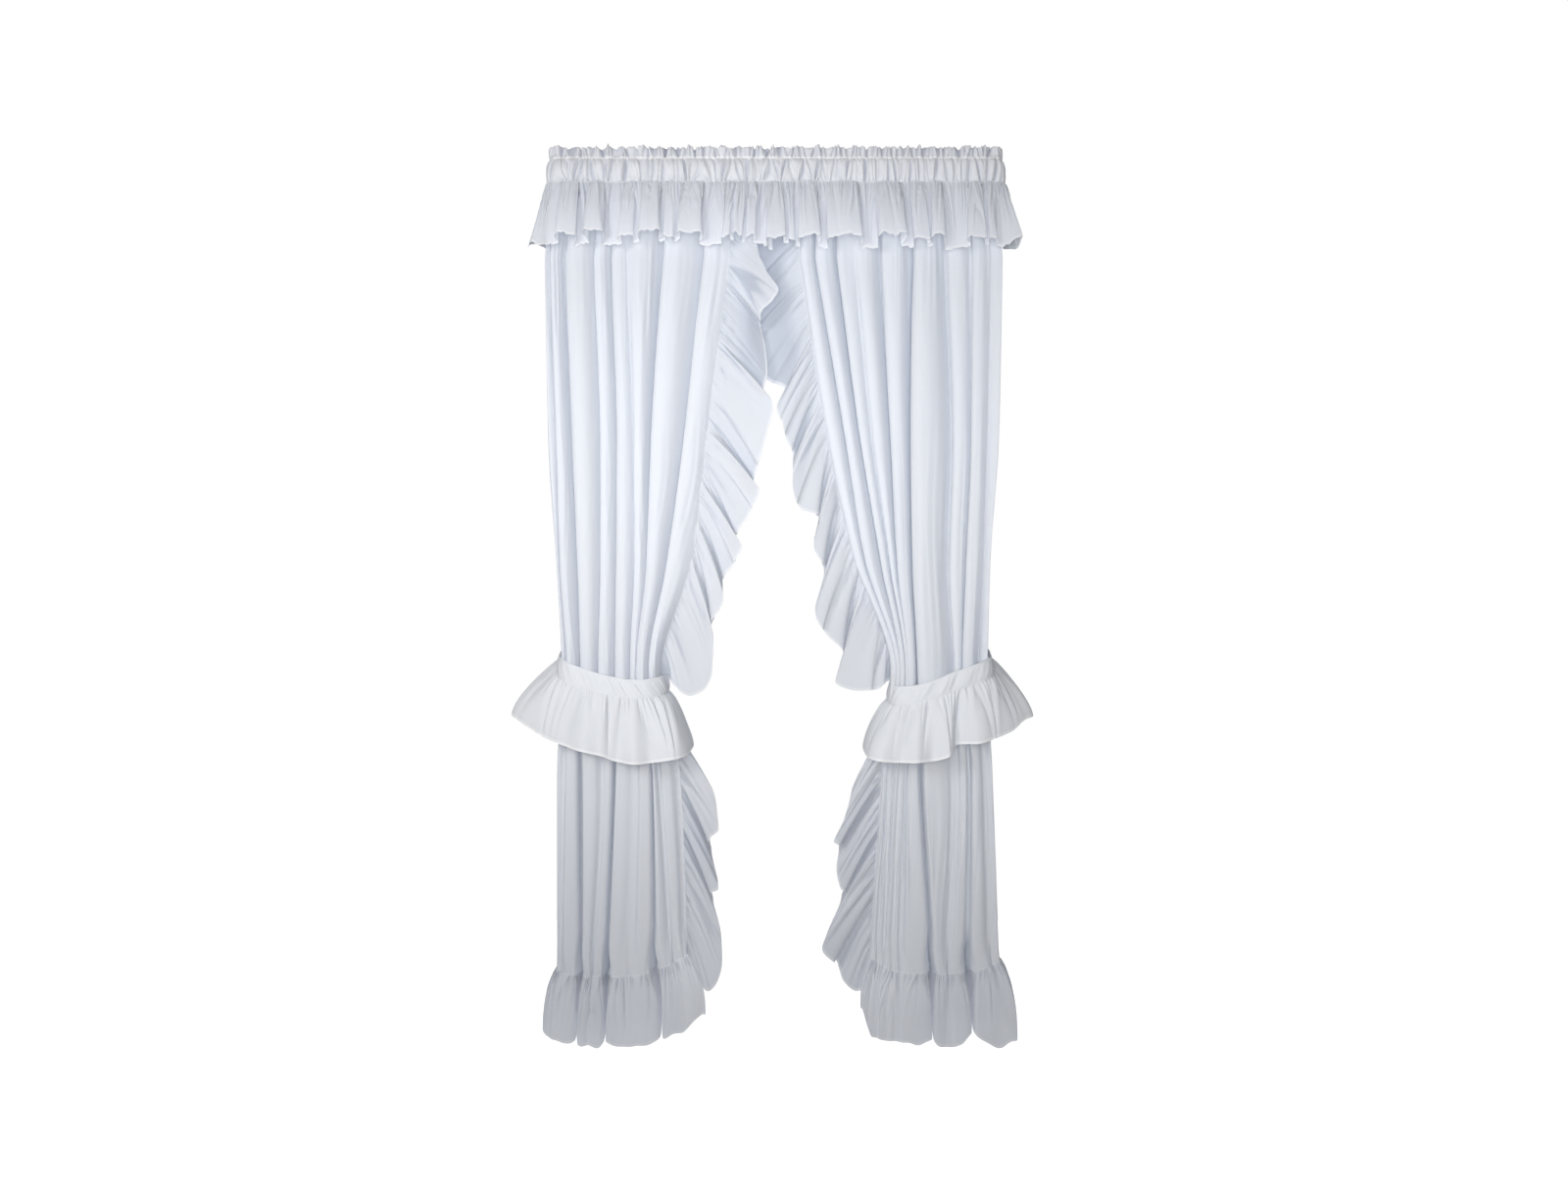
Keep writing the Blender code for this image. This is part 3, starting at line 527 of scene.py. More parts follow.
# For each fold line from the top down: its height on the seam, and its hem's x, height and way out.
EDGE_FOLDS = {
    "left": (
        (-91, -33, -92, -4), (-130, -50, -170, 8), (-185, -44, -245, 26), (-240, -22, -305, 37),
        (-285, 6, -350, 40), (-318, -6, -374, 42), (-345, -36, -406, 32), (-362, -36, -424, -14),
        (-400, -26, -470, -10), (-450, -20, -535, -10), (-490, -30, -574, -12), (-520, -6, -622, 42),
        (-590, -22, -690, 34), (-660, -46, -768, 6), (-690, -54, -796, -14), (-718, -38, -818, 40),
        (-770, -64, -874, 22), (-812, -97, -928, -14), (-842, -79, -950, 40), (-880, -104, -996, 14),
        (-912, -127, -1030, -14), (-945, -122, -1074, 42), (-990, -154, -1134, -12),
        (-1030, -145, -1160, 40), (-1100, -148, -1240, 46), (-1150, -168, -1284, 44),
        (-1190, -202, -1298, 38), (-1216, -234, -1280, 22), (-1234, -252, -1264, -8),
        (-1252, -298, -1252, -38), (-1305, -300, -1318, -38), (-1365, -234, -1436, -8),
        (-1400, -166, -1492, 14), (-1440, -143, -1530, 34), (-1500, -133, -1606, 46),
        (-1532, -152, -1628, 40), (-1552, -158, -1650, -30), (-1610, -138, -1726, 18),
        (-1640, -134, -1748, 40), (-1662, -156, -1764, -30), (-1720, -128, -1850, 34),
        (-1770, -124, -1914, 48), (-1812, -138, -1966, 54), (-1850, -160, -1986, 46),
        (-1904, -170, -1976, 42),
    ),
    "right": (
        (-91, -30, -92, -8), (-130, -56, -190, -28), (-180, -70, -240, -36), (-230, -68, -300, -30),
        (-270, -62, -350, -46), (-320, -66, -410, -30), (-370, -58, -450, -46), (-400, -44, -500, -30),
        (-440, -22, -545, -38), (-480, 24, -576, -14), (-520, 2, -626, 40), (-550, 15, -660, 36),
        (-590, 24, -696, 22), (-625, 40, -730, -14), (-680, 39, -806, 42), (-735, 58, -860, 30),
        (-782, 104, -880, -12), (-830, 88, -948, 40), (-890, 115, -1008, -12), (-950, 91, -1100, 42),
        (-1015, 120, -1156, 26), (-1060, 161, -1202, -12), (-1100, 138, -1264, 42), (-1150, 190, -1286, 40),
        (-1195, 236, -1284, 26), (-1234, 262, -1268, -8), (-1258, 302, -1260, -38),
        (-1312, 304, -1326, -38), (-1365, 236, -1438, -8), (-1405, 188, -1498, 12), (-1470, 157, -1590, 42),
        (-1520, 135, -1636, 48), (-1548, 152, -1650, -28), (-1592, 142, -1702, 24), (-1632, 150, -1744, 42),
        (-1660, 162, -1762, -28), (-1716, 128, -1832, 34), (-1768, 107, -1886, 50), (-1806, 142, -1926, 2),
        (-1846, 158, -1966, 30), (-1900, 190, -1992, 26), (-1914, 216, -1976, 44),
    ),
}

# %% The edge ruffles

RUFFLE_BOW = 0.05  # how far a ruffle stands away from its seam before it falls, per unit of its reach
LEAST_FALL = 40.0  # a fold that drops less than this runs straight from its seam
CREASE_DROP = 42.0  # how much higher on the seam a crease starts than the strip's own width would put it
ROWS_PER_FOLD = 12
CASCADE_ROLLS = (1.6, 0.5)  # how far a fold rolls over below its crest and above it
FLOOR_SHADE_Z = (PANEL_FOOT_Z + 130, PANEL_FOOT_Z + 480)  # full below the first height, gone above the second


def seam_points(side, z):
    """Points on the panel's leading edge at the heights z."""
    line = panels[side][:, -1]
    return np.stack([np.interp(-z, -line[:, 2], line[:, axis]) for axis in (0, 1)] + [z], axis=-1)


def edge_ruffle_grid(side):
    inward = 1.0 if side == "left" else -1.0
    from_z, edge_x, edge_z, outs = np.array(EDGE_FOLDS[side], float).T
    falling = outs[1:] < outs[:-1]
    rolls = np.where(falling, *CASCADE_ROLLS) * np.clip(np.abs(np.diff(outs)) / 24, 0, 1)
    places, deep = turned(outs, np.full(len(outs) - 1, ROWS_PER_FOLD), rolls)
    stations = np.arange(len(outs))
    edge_x, edge_z = through(stations, edge_x, places), through(stations, edge_z, places)
    out = through(stations, outs, deep)
    seam_z = through(stations, from_z, np.linspace(0, len(outs) - 1, len(places)))
    from_top, from_foot = PANEL_TOP_Z - seam_z, seam_z - from_z[-1]
    seam_z += CREASE_DROP * np.clip(from_top / 160, 0, 1) * np.clip(from_foot / 200, 0, 1)
    start = seam_points(side, seam_z) + np.array([-inward * SEAM_LAP, 1.5, 0])
    end = np.stack([edge_x, -out, edge_z], axis=-1)
    reach = np.linalg.norm(end - start, axis=1)
    falls = 1 - fade(np.abs(edge_z - seam_z), LEAST_FALL * 0.5, LEAST_FALL * 1.5)
    middle = 0.5 * (start + end)
    middle[:, 0] += inward * RUFFLE_BOW * reach * falls
    middle[:, 1] += 0.28 * (end - start)[:, 1]
    t = np.linspace(0, 1, FRILL_ROWS)[None, :, None]
    grid = (1 - t) ** 2 * start[:, None] + 2 * t * (1 - t) * middle[:, None] + t**2 * end[:, None]
    along = lengths(start[:, None], 0)
    fall = t[..., 0] * reach[:, None] / reach.max()
    painted_shade = fade(out, -30, 34)[:, None] * t[..., 0] ** 0.6 * np.ones((1, FRILL_ROWS))
    grid, crease = puffed(grid, fall, along, SEEDS[side]["edge"], (10.0, 4.4), (44.0, 4.6))
    # Painted shade: in the cascade's valleys and creases, on top of IN_SHADE all over, which grows towards
    # the floor.
    low = fade(edge_z, *FLOOR_SHADE_Z)[:, None]
    painted_shade = (1.3 + 0.2 * low) * np.maximum(1.2 * painted_shade, 0.9 * crease) + IN_SHADE * (0.8 + 1.1 * low)
    return grid, np.minimum(painted_shade, 1.3)


for hand in ("left", "right"):
    ruffle(hand + "_edge_ruffle_cloth", *edge_ruffle_grid(hand), seam_axis=1)

# %% [markdown]
# ## The heading
# The top of the panel is folded over and stitched twice. The lower tunnel holds the rod and the strip left
# above it is the header frill. Both are pushed together on the rod, so the tunnel stands in tight upright
# gathers and the frill above the stitches in looser ones. It could be a plain tube with gathers in its
# relief, but then its top would be a straight line, so one section is swept along the rod and gathered.

# %% The rod's line and the heading's section

STITCH_Z, POCKET_FOOT_Z = -30.0, -89.0
ROD_HALF_SPAN, ROD_BEND, WALL_Y = 536.0, 20.0, 84.0
HEADING_START = {"left": -24.5, "right": -26.5}
GATHER_PITCH = {"left": 27.0, "right": 25.0}
GATHER_DEPTH, HEADER_SCALLOP = 7.4, 9.5


def rod_path(side, along):
    """Points and outward directions on the rod's line, at distances from the middle of the window."""
    hand = -1.0 if side == "left" else 1.0
    straight = ROD_HALF_SPAN - ROD_BEND
    quarter = ROD_BEND * np.pi / 2
    turn = np.clip((along - straight) / ROD_BEND, 0, np.pi / 2)
    out = np.stack([hand * np.sin(turn), -np.cos(turn)], axis=-1)
    back = np.maximum(along - straight - quarter, 0)
    centre = np.stack([hand * np.minimum(along, straight), back], axis=-1)
    bend = np.stack([hand * np.sin(turn), 1 - np.cos(turn)], axis=-1) * ROD_BEND
    return centre + bend, out


# Distance out from the rod's axis, height, and share of the gathers, up the front and down the back.
HEADING_SECTION = (
    (2.2, POCKET_FOOT_Z, 0.6), (6.5, -86, 1.3), (9.6, -81, 1.3), (10.8, -72, 1.0), (11.0, -60, 1.0),
    (10.6, -50, 1.0), (8.6, -41, 0.9), (5.4, -34, 0.7), (2.6, STITCH_Z, 0.35), (2.9, -25, 0.7),
    (3.2, -18, 1.0), (2.9, -9, 1.2), (2.2, -3, 1.3), (0.9, 0, 1.3), (-0.9, 0, 1.3), (-2.2, -3, 1.2),
    (-2.6, -12, 1.0), (-2.2, STITCH_Z, 0.35), (-5.4, -34, -0.7), (-8.6, -41, -1.0), (-10.4, -50, -1.0),
    (-10.6, -72, -1.0), (-8.6, -82, -0.8), (-2.2, POCKET_FOOT_Z, -0.3),
)


def heading_grid(side):
    first = -HEADING_START[side] if side == "left" else HEADING_START[side]
    straight = ROD_HALF_SPAN - ROD_BEND
    last = straight + ROD_BEND * np.pi / 2 + WALL_Y - ROD_BEND
    along = np.arange(first, last + 0.1, 1.5)
    table = np.array(HEADING_SECTION)
    finer = np.linspace(0, len(table) - 1, 58)
    offset, z, share = through(np.arange(len(table)), table, finer).T
    centre, out = rod_path(side, along)
    seed = SEEDS[side]["heading"]
    # Creases lean one way or the other between the two rows of stitches.
    middle = 0.5 * (STITCH_Z + POCKET_FOOT_Z)
    lean = 9 * uneven(along, 55, seed + 2)[None] * (z[:, None] - middle) / (STITCH_Z - middle)
    puff = np.clip(1 - ((z - middle) / 27) ** 2, 0, 1)[:, None]
    tunnel = (
        0.75 * gathers(along[None] + lean, 10.5, seed) * (1 - 0.45 * puff)
        + 1.25 * gathers(along[None] + 0.8 * lean, GATHER_PITCH[side] * 0.8, seed + 4) * (0.35 + 0.65 * puff)
    )
    flutter = along[None] + 0.25 * (z[:, None] - STITCH_Z) * uneven(along, 33, seed + 6)[None]
    loose = 1.25 * gathers(flutter, 12, seed + 7) + 0.7 * uneven(flutter, 24, seed + 8)
    above = (1 - fade(z, STITCH_Z - 2, STITCH_Z + 8))[:, None]
    depth = share[:, None] * GATHER_DEPTH * ((1 - above) * tunnel + above * loose)
    calm = fade(along, straight - 4, straight + 12) * 0.7 + 0.3
    radial = offset[:, None] + depth * calm
    ragged = 0.42 - 0.3 * gathers(along, 15, seed + 7) + 0.3 * uneven(along, 31, seed + 10)
    scallop = HEADER_SCALLOP * np.clip(ragged, 0, 1.3) * calm
    height = z[:, None] - scallop[None] * np.clip((z[:, None] - STITCH_Z) / -STITCH_Z, 0, 1)
    spot = centre[None] + out[None] * radial[..., None]
    grid = np.concatenate([spot, height[..., None]], axis=-1)
    seam = np.minimum(np.abs(height - STITCH_Z), np.abs(height - POCKET_FOOT_Z))
    # The last value is painted shade in the gathers' creases.
    return grid, seam, np.clip(-1.1 * depth / GATHER_DEPTH, 0, 1)


for hand in ("left", "right"):
    cloth, seam, painted_shade = heading_grid(hand)
    sheet(hand + "_heading_cloth", cloth, seam, FAR, painted_shade)

# %% [markdown]
# ## The valance ruffle
# One more strip is caught in the tunnel's lower row of stitches. It hangs free over the panels, and its
# folds roll over their neighbours: a broad pleat, a sharp turn, a shadow. Even waves would have no such
# turns, so fold lines come from a table again, from the middle outwards, then round to the wall.

# %% Where the valance's folds hang

# For each fold line: its x on the seam and on the hem, and how far out its hem hangs.
VALANCE_FOLDS = {
    "left": (
        (-14, -8, 34), (-32, -38, 44), (-42, -48, 44), (-52, -62, 60), (-66, -76, 50), (-78, -88, 64),
        (-93, -103, 50), (-107, -116, 60), (-122, -131, 44), (-158, -167, 42), (-196, -202, 66),
        (-224, -231, 50), (-244, -245, 60), (-262, -264, 48), (-296, -292, 70), (-322, -326, 48),
        (-346, -343, 60), (-362, -368, 44), (-396, -396, 42), (-424, -417, 70), (-442, -445, 44),
        (-458, -461, 42), (-486, -485, 64), (-512, -518, 44),
    ),
    "right": (
        (-26, -28, 46), (-8, -2, 64), (22, 26, 48), (34, 38, 58), (47, 50, 48), (72, 76, 66),
        (100, 106, 44), (112, 116, 44), (136, 137, 64), (176, 178, 68), (198, 205, 42), (222, 229, 42),
        (262, 265, 70), (296, 303, 44), (312, 317, 44), (324, 335, 62), (356, 360, 48), (378, 375, 66),
        (398, 403, 42), (446, 445, 44), (470, 467, 64), (488, 493, 48), (502, 501, 60), (520, 520, 46),
    ),
}
VALANCE_LONG = -255.0  # foot of a fold that hangs back
VALANCE_LIFT = 0.95  # how much a fold's foot rises for each millimetre that it swings out
SEAM_OUT = (2.0, 0.22)  # how far out the seam stands, and the share of the fold's own swing in it
# The valance's end, round the rod's bend and back to the wall: x and y on the seam, and x, y and height
# on the hem.
VALANCE_RETURN = {
    "left": (
        (-540, -4, -562, -54, -247), (-543, 14, -583, -18, -250), (-545, 48, -588, 28, -227),
        (-545, 82, -552, 80, -222),
    ),
    "right": (
        (540, -4, 574, -54, -231), (543, 14, 567, -18, -248), (545, 48, 558, 22, -240),
        (545, 82, 552, 80, -223),
    ),
}

# %% The valance

COLUMNS_PER_FOLD = 24
SEAM_ROLL = 0.45  # how far the folds are rolled at the seam, as a share of their roll at the hem


def valance_grid(side):
    base, share = SEAM_OUT
    seam_x, hem_x, out = np.array(VALANCE_FOLDS[side], float).T
    corners = np.array(VALANCE_RETURN[side], float)
    hem_z = VALANCE_LONG + VALANCE_LIFT * (out - out.min())
    top = np.concatenate([np.column_stack([seam_x, -base - share * out]), corners[:, :2]])
    hem = np.concatenate([np.column_stack([hem_x, -out, hem_z]), corners[:, 2:]])
    stations, last_front = np.arange(len(hem)), len(out)
    depth = np.clip((np.abs(np.diff(hem[:, 1])) - 5) / 10, 0, 1)
    rolls = np.where(stations[1:] < last_front, (1.9 + 0.7 * uneven(stations[1:], 2.3, 5)) * depth, 0)
    steps = np.full(len(hem) - 1, COLUMNS_PER_FOLD)
    places, deep = turned(-hem[:, 1], steps, rolls)
    even, _ = turned(-hem[:, 1], steps, rolls * SEAM_ROLL)
    hem = np.column_stack([through(stations, hem[:, 0], places), through(stations, hem[:, 1:], deep)])
    hem[:, 2] += 3.6 * uneven(hem[:, 0], 46, 7) + 1.7 * uneven(hem[:, 0], 13, 9)
    top = np.column_stack([through(stations, top, even), np.full(len(even), POCKET_FOOT_Z + 1)])
    fall = np.linspace(0, 1, FRILL_ROWS)
    share_xyz = np.stack([fall**1.1, 1 - (1 - fall) ** 1.3, fall], axis=-1)
    grid = top[None] + (hem - top)[None] * share_xyz[:, None]
    along = lengths(hem[None], 1)
    in_front = fade(even, last_front - 1, last_front)
    grid[..., 0] += 3.4 * np.sin(np.pi * fall)[:, None] * uneven(along, 44, 15) * in_front
    # Painted shade: in the folds that hang back, most near the seam, and in the gathers' creases.
    painted_shade = fade(-hem[:, 1], 30, 62)[None] * (1.3 - 0.8 * fall[:, None]) * in_front
    seed = SEEDS[side]["valance"]
    grid, crease = puffed(grid, fall[:, None], along, seed, (8.5, 4.3), (19.0, 4.2), fine_end=105)
    return grid, np.maximum(0.45 * painted_shade, 0.55 * crease)


for hand in ("left", "right"):
    ruffle(hand + "_valance_cloth", *valance_grid(hand))

# %% [markdown]
# ## The ties
# A tie is a flat doubled band that goes round the gathered panel to a hook's place at the wall, with a
# ruffle sewn to its lower edge. It could be a slanting ring, but the real one sags in front and comes
# together at the hook, so a table gives points all the way round, from the hook and back to it.

# %% Where the ties run

# x, y and height of the band's lower edge, then those of the ruffle's hem below it.
TIE = {
    "left": (
        (-505, 74, -1198, -590, 66, -1318), (-514, 46, -1214, -624, -4, -1343),
        (-518, 12, -1236, -602, -30, -1357), (-513, -22, -1252, -565, -54, -1376),
        (-492, -46, -1263, -530, -74, -1393), (-462, -57, -1274, -486, -92, -1408),
        (-430, -62, -1284, -446, -82, -1424), (-398, -64, -1292, -404, -100, -1430),
        (-366, -65, -1298, -364, -86, -1446), (-335, -64, -1302, -322, -104, -1450),
        (-306, -60, -1303, -284, -88, -1448), (-280, -48, -1300, -240, -94, -1441),
        (-260, -26, -1296, -206, -66, -1434), (-253, 4, -1292, -194, -8, -1418),
        (-262, 38, -1288, -210, 52, -1414), (-296, 56, -1284, -262, 81, -1418),
        (-345, 61, -1276, -320, 70, -1418), (-400, 63, -1264, -385, 82, -1408),
        (-455, 66, -1248, -452, 72, -1392), (-495, 74, -1208, -512, 82, -1352),
    ),
    "right": (
        (505, 74, -1198, 578, 66, -1320), (512, 46, -1214, 608, -4, -1346),
        (515, 12, -1236, 582, -30, -1356), (511, -23, -1250, 550, -54, -1378),
        (486, -48, -1262, 507, -76, -1393), (452, -57, -1274, 466, -92, -1404),
        (420, -62, -1284, 420, -72, -1408), (392, -65, -1294, 396, -104, -1432),
        (362, -66, -1304, 360, -90, -1444), (334, -64, -1312, 322, -106, -1446),
        (307, -60, -1317, 284, -88, -1448), (283, -48, -1319, 244, -96, -1445),
        (268, -26, -1318, 212, -66, -1438), (262, 4, -1312, 205, -8, -1424),
        (270, 38, -1306, 218, 52, -1418), (298, 56, -1296, 266, 81, -1420),
        (345, 61, -1284, 322, 70, -1418), (396, 63, -1268, 382, 82, -1408),
        (450, 66, -1250, 448, 72, -1392), (495, 74, -1208, 508, 82, -1352),
    ),
}

# %% The band and its ruffle

BAND_WIDTH, BAND_LEAN = 44.0, 8.0
BAND_AT_HOOK = 0.4  # of its width, where the band's two ends are drawn together on the hook
TURNED_IN = 6.0  # the seam lies inside the band, so no line of it shows
BAND_COLUMNS = 320


def tie_path(side, columns):
    table = np.array(TIE[side], float)
    return through(np.arange(len(table)), table, np.linspace(0, len(table) - 1, columns))


def away(path):
    """Directions out from the middle of the gathered panel, level with the floor."""
    out = path[:, :2] - path[:, :2].mean(axis=0)
    out /= np.linalg.norm(out, axis=1)[:, None]
    return np.column_stack([out, np.zeros(len(out))])


def tie_band_grid(side):
    path = tie_path(side, BAND_COLUMNS)[:, :3]
    out = away(path)
    along = lengths(path[None], 1)[0]
    rise = np.concatenate([np.linspace(0, 1, 18), np.linspace(1, 0, 12)])
    layer = np.concatenate([np.ones(18), -np.ones(12)])
    belly = 1.6 * np.sqrt(np.clip(4 * rise * (1 - rise), 0, 1)) * layer
    seed = SEEDS[side]["band"]
    slant = along[None] + 26 * rise[:, None]
    crease = 1.9 * uneven(slant, 38, seed) + 0.9 * uneven(slant, 17, seed + 2)
    push = belly[:, None] + crease * np.sin(np.pi * rise[:, None]) - BAND_LEAN * rise[:, None]
    grid = path[None] + out[None] * push[..., None]
    width = BAND_WIDTH * (1 - (1 - BAND_AT_HOOK) * fade(np.minimum(along, along[-1] - along), 0, 90))
    grid[..., 2] += width * rise[:, None]
    seam = width * rise[:, None] + TURNED_IN
    return grid, seam


def tie_ruffle_grid(side):
    table = np.array(TIE[side], float)
    stations = np.arange(len(table))
    even = np.linspace(0, len(table) - 1, 26 * (len(table) - 1) + 1)
    seam = through(stations, table[:, :3], even)
    hem = through(stations, table[:, 3:], even)
    seam[:, 2] += 1.0
    fall = np.linspace(0, 1, FRILL_ROWS)[:, None, None]
    flare = 1 - (1 - fall) ** 1.5
    grid = seam[None] + (hem - seam)[None] * np.concatenate([flare, flare, fall], axis=2)
    along = lengths(seam[None], 1)
    down = fall[..., 0] * RUFFLE_DEPTH
    seed = SEEDS[side]["tie"]
    small = 3.8 * fade(down, 2, 84) * np.clip(down / 7, 0.12, 1)
    large = 6.4 * fade(down, 50, 175) * np.clip(down / 20, 0.08, 1)
    fan = along + 0.2 * down * uneven(along, 60, seed + 9)
    push = small * gathers(fan, 13, seed) + large * gathers(fan, 36, seed + 5)
    # The second value is painted shade in the gathers' creases.
    return grid + away(seam)[None] * push[..., None], 0.7 * np.clip(-push / 4, 0, 1)


for hand in ("left", "right"):
    sheet(hand + "_tie_band_cloth", *tie_band_grid(hand), FAR, 0.0)
    ruffle(hand + "_tie_ruffle_cloth", *tie_ruffle_grid(hand), lap=TURNED_IN)

# %% [markdown]
# ## A small language for shaders
# A shader is a web of nodes, and sums built by clicking are hard to read. Here one class wraps a number
# socket so that ordinary Python sums add the Math nodes, and one method makes every other kind of node.

# %% Numbers as sums


class Number:
    """A number socket of a material: + - * and ** on it add Math nodes."""

    def __init__(self, finish, socket):
        self.finish, self.socket = finish, socket

    def sum(self, operation, first, second=None):
        values = {0: first} if second is None else {0: first, 1: second}
        node = self.finish.node("ShaderNodeMath", {"operation": operation}, values)
        return Number(self.finish, node.outputs[0])

    def __add__(self, other):
        return self.sum("ADD", self, other)

    def __radd__(self, other):
        return self.sum("ADD", other, self)

    def __sub__(self, other):
        return self.sum("SUBTRACT", self, other)

    def __rsub__(self, other):
        return self.sum("SUBTRACT", other, self)

    def __mul__(self, other):
        return self.sum("MULTIPLY", self, other)

    def __rmul__(self, other):
        return self.sum("MULTIPLY", other, self)

    def __pow__(self, other):
        return self.sum("POWER", self, other)

    def most(self, other):
        return self.sum("MAXIMUM", self, other)

    def rest(self, length):
        return self.sum("MODULO", self, length)

    def size(self):
        return self.sum("ABSOLUTE", self)


class Finish:
    """A material under construction."""

    def __init__(self, name):
        self.material = bpy.data.materials.new(name)
        self.material.use_nodes = True
        self.tree = self.material.node_tree
        self.shader = self.tree.nodes["Principled BSDF"]
        self.output = self.tree.nodes["Material Output"]

    def node(self, kind, settings=None, values=None):
        """A node of that kind: its settings first, then a value or a link for each socket."""
        made = self.tree.nodes.new(kind)
        for name, value in (settings or {}).items():
            setattr(made, name, value)
        for name, value in (values or {}).items():
            value = value.socket if isinstance(value, Number) else value
            if isinstance(value, bpy.types.NodeSocket):
                self.tree.links.new(value, made.inputs[name])
            else:
                made.inputs[name].default_value = value
        return made

    def stored(self, name):
        """A number stored on the mesh."""
        node = self.node("ShaderNodeAttribute", {"attribute_type": "GEOMETRY", "attribute_name": name})
        return Number(self, node.outputs["Fac"])

    def step(self, number, low, high):
        """0 below low, 1 above high and a smooth change between."""
        values = {"Value": number, "From Min": low, "From Max": high}
        settings = {"interpolation_type": "SMOOTHSTEP", "clamp": True}
        return Number(self, self.node("ShaderNodeMapRange", settings, values).outputs["Result"])

    def noise(self, place, scale, detail=2.0):
        values = {"Vector": place, "Scale": scale, "Detail": detail}
        return Number(self, self.node("ShaderNodeTexNoise", {}, values).outputs["Fac"])

    def stretched(self, place, across, along):
        """The cloth map in patches of these lengths, in metres."""
        values = {0: place, 1: (1 / across, 1 / along, 1.0)}
        return self.node("ShaderNodeVectorMath", {"operation": "MULTIPLY"}, values).outputs["Vector"]

    def colour(self, share, first, second):
        """From the first colour to the second by share."""
        settings = {"data_type": "RGBA", "clamp_factor": True}
        return self.node("ShaderNodeMix", settings, {0: share, 6: first, 7: second}).outputs[2]


# %% [markdown]
# ## Batiste
# Batiste is a fine plain weave of slightly uneven thread. Up close the threads cross at about three to the
# millimetre, and a thicker thread now and then shows as a faint streak. Light passes through it, so its
# hollows never go black and glow a little cool. Most of their cool grey is painted shade: the stored
# painted shade mixes a shade colour into the cloth, and a darker one in the notches at the foot, and it
# stays there in any light. Hems are doubled, so they read whiter, with a row of stitches. All of it comes
# from sums on the cloth map and the stored numbers.

# %% The cloth's finish

THREAD = 0.00034  # metres from thread to thread


def batiste(name, light, shade, sheer):
    finish = Finish(name)
    place = finish.node("ShaderNodeUVMap", {"uv_map": "cloth"}).outputs["UV"]
    split = finish.node("ShaderNodeSeparateXYZ", {}, {0: place})
    across, along = Number(finish, split.outputs["X"]), Number(finish, split.outputs["Y"])
    seam, hem, painted_shade = finish.stored("seam"), finish.stored("hem"), finish.stored("painted_shade")

    # Thread: slubs run along the warp and, fainter, along the weft.
    warp = finish.noise(finish.stretched(place, 0.0011, 0.055), 1.0, 3.0)
    weft = finish.noise(finish.stretched(place, 0.040, 0.0013), 1.0, 3.0)
    cloudy = finish.noise(finish.stretched(place, 0.05, 0.09), 1.0, 2.0)
    threads = (across * (2 * np.pi / THREAD)).sum("SINE", across * (2 * np.pi / THREAD))
    crossing = (along * (2 * np.pi / THREAD)).sum("SINE", along * (2 * np.pi / THREAD))
    weave = threads * crossing

    # Sewing: a turned hem of 8 mm held by a row of stitches, and puckers drawn in by each seam.
    turned = 1.0 - finish.step(hem, 7.0, 8.2)
    stitch_row = 1.0 - finish.step((hem - 7.2).size(), 0.3, 0.9)
    stitches = stitch_row * finish.step((along + across).rest(0.0026).size(), 0.0006, 0.0011)
    near_seam = 1.0 - finish.step(seam, 2.0, 26.0)
    pucker = finish.noise(finish.stretched(place, 0.0055, 0.028), 1.0, 2.0)

    # Colour, with painted shade: the stored painted shade mixes in the shade colour, and past 1 a darker one
    # for the notches at the foot.
    white = finish.colour(cloudy, light, tuple(0.975 * c for c in light[:3]) + (1.0,))
    streaked = finish.colour((warp - 0.5) * 0.5 + (weft - 0.5) * 0.2 + 0.25, white, shade)
    painted_fold_shade = finish.colour((painted_shade.most(0.0) ** 1.6) * 0.5, streaked, shade)
    painted_notch_shade = finish.colour(painted_shade - 1.0, painted_fold_shade, (0.30, 0.33, 0.40, 1.0))
    seam_line = 1.0 - finish.step(seam, 2.6, 5.0)
    hemmed = finish.colour((turned * 0.75).most(seam_line * 0.8), painted_notch_shade, (0.93, 0.94, 0.96, 1.0))
    sewn = finish.colour(stitches * 0.4, hemmed, shade)
    finish.tree.links.new(sewn, finish.shader.inputs["Base Color"])

    # Relief.
    relief = (
        weave * 0.00002
        + warp * 0.00022
        + weft * 0.00010
        + turned * 0.0004
        - stitches * 0.0003
        + pucker * near_seam * 0.0026
    )
    bump = finish.node("ShaderNodeBump", {}, {"Strength": 0.75, "Distance": 1.0, "Height": relief})
    finish.tree.links.new(bump.outputs["Normal"], finish.shader.inputs["Normal"])
    rough = finish.step(warp, 0.2, 0.8) * 0.10 + 0.76
    finish.tree.links.new(rough.socket, finish.shader.inputs["Roughness"])
    for socket, value in (("Sheen Weight", 0.25), ("Sheen Roughness", 0.45), ("Specular IOR Level", 0.25)):
        finish.shader.inputs[socket].default_value = value

    # Light passes through: part of the cloth scatters it out on the other side.
    through_cloth = finish.node("ShaderNodeBsdfTranslucent", {}, {"Color": (0.86, 0.89, 0.95, 1.0)})
    values = {0: sheer, 1: finish.shader.outputs[0], 2: through_cloth.outputs[0]}
    both = finish.node("ShaderNodeMixShader", {}, values)
    finish.tree.links.new(both.outputs[0], finish.output.inputs["Surface"])
    print(name, "has", len(finish.tree.nodes), "nodes")
    return finish.material


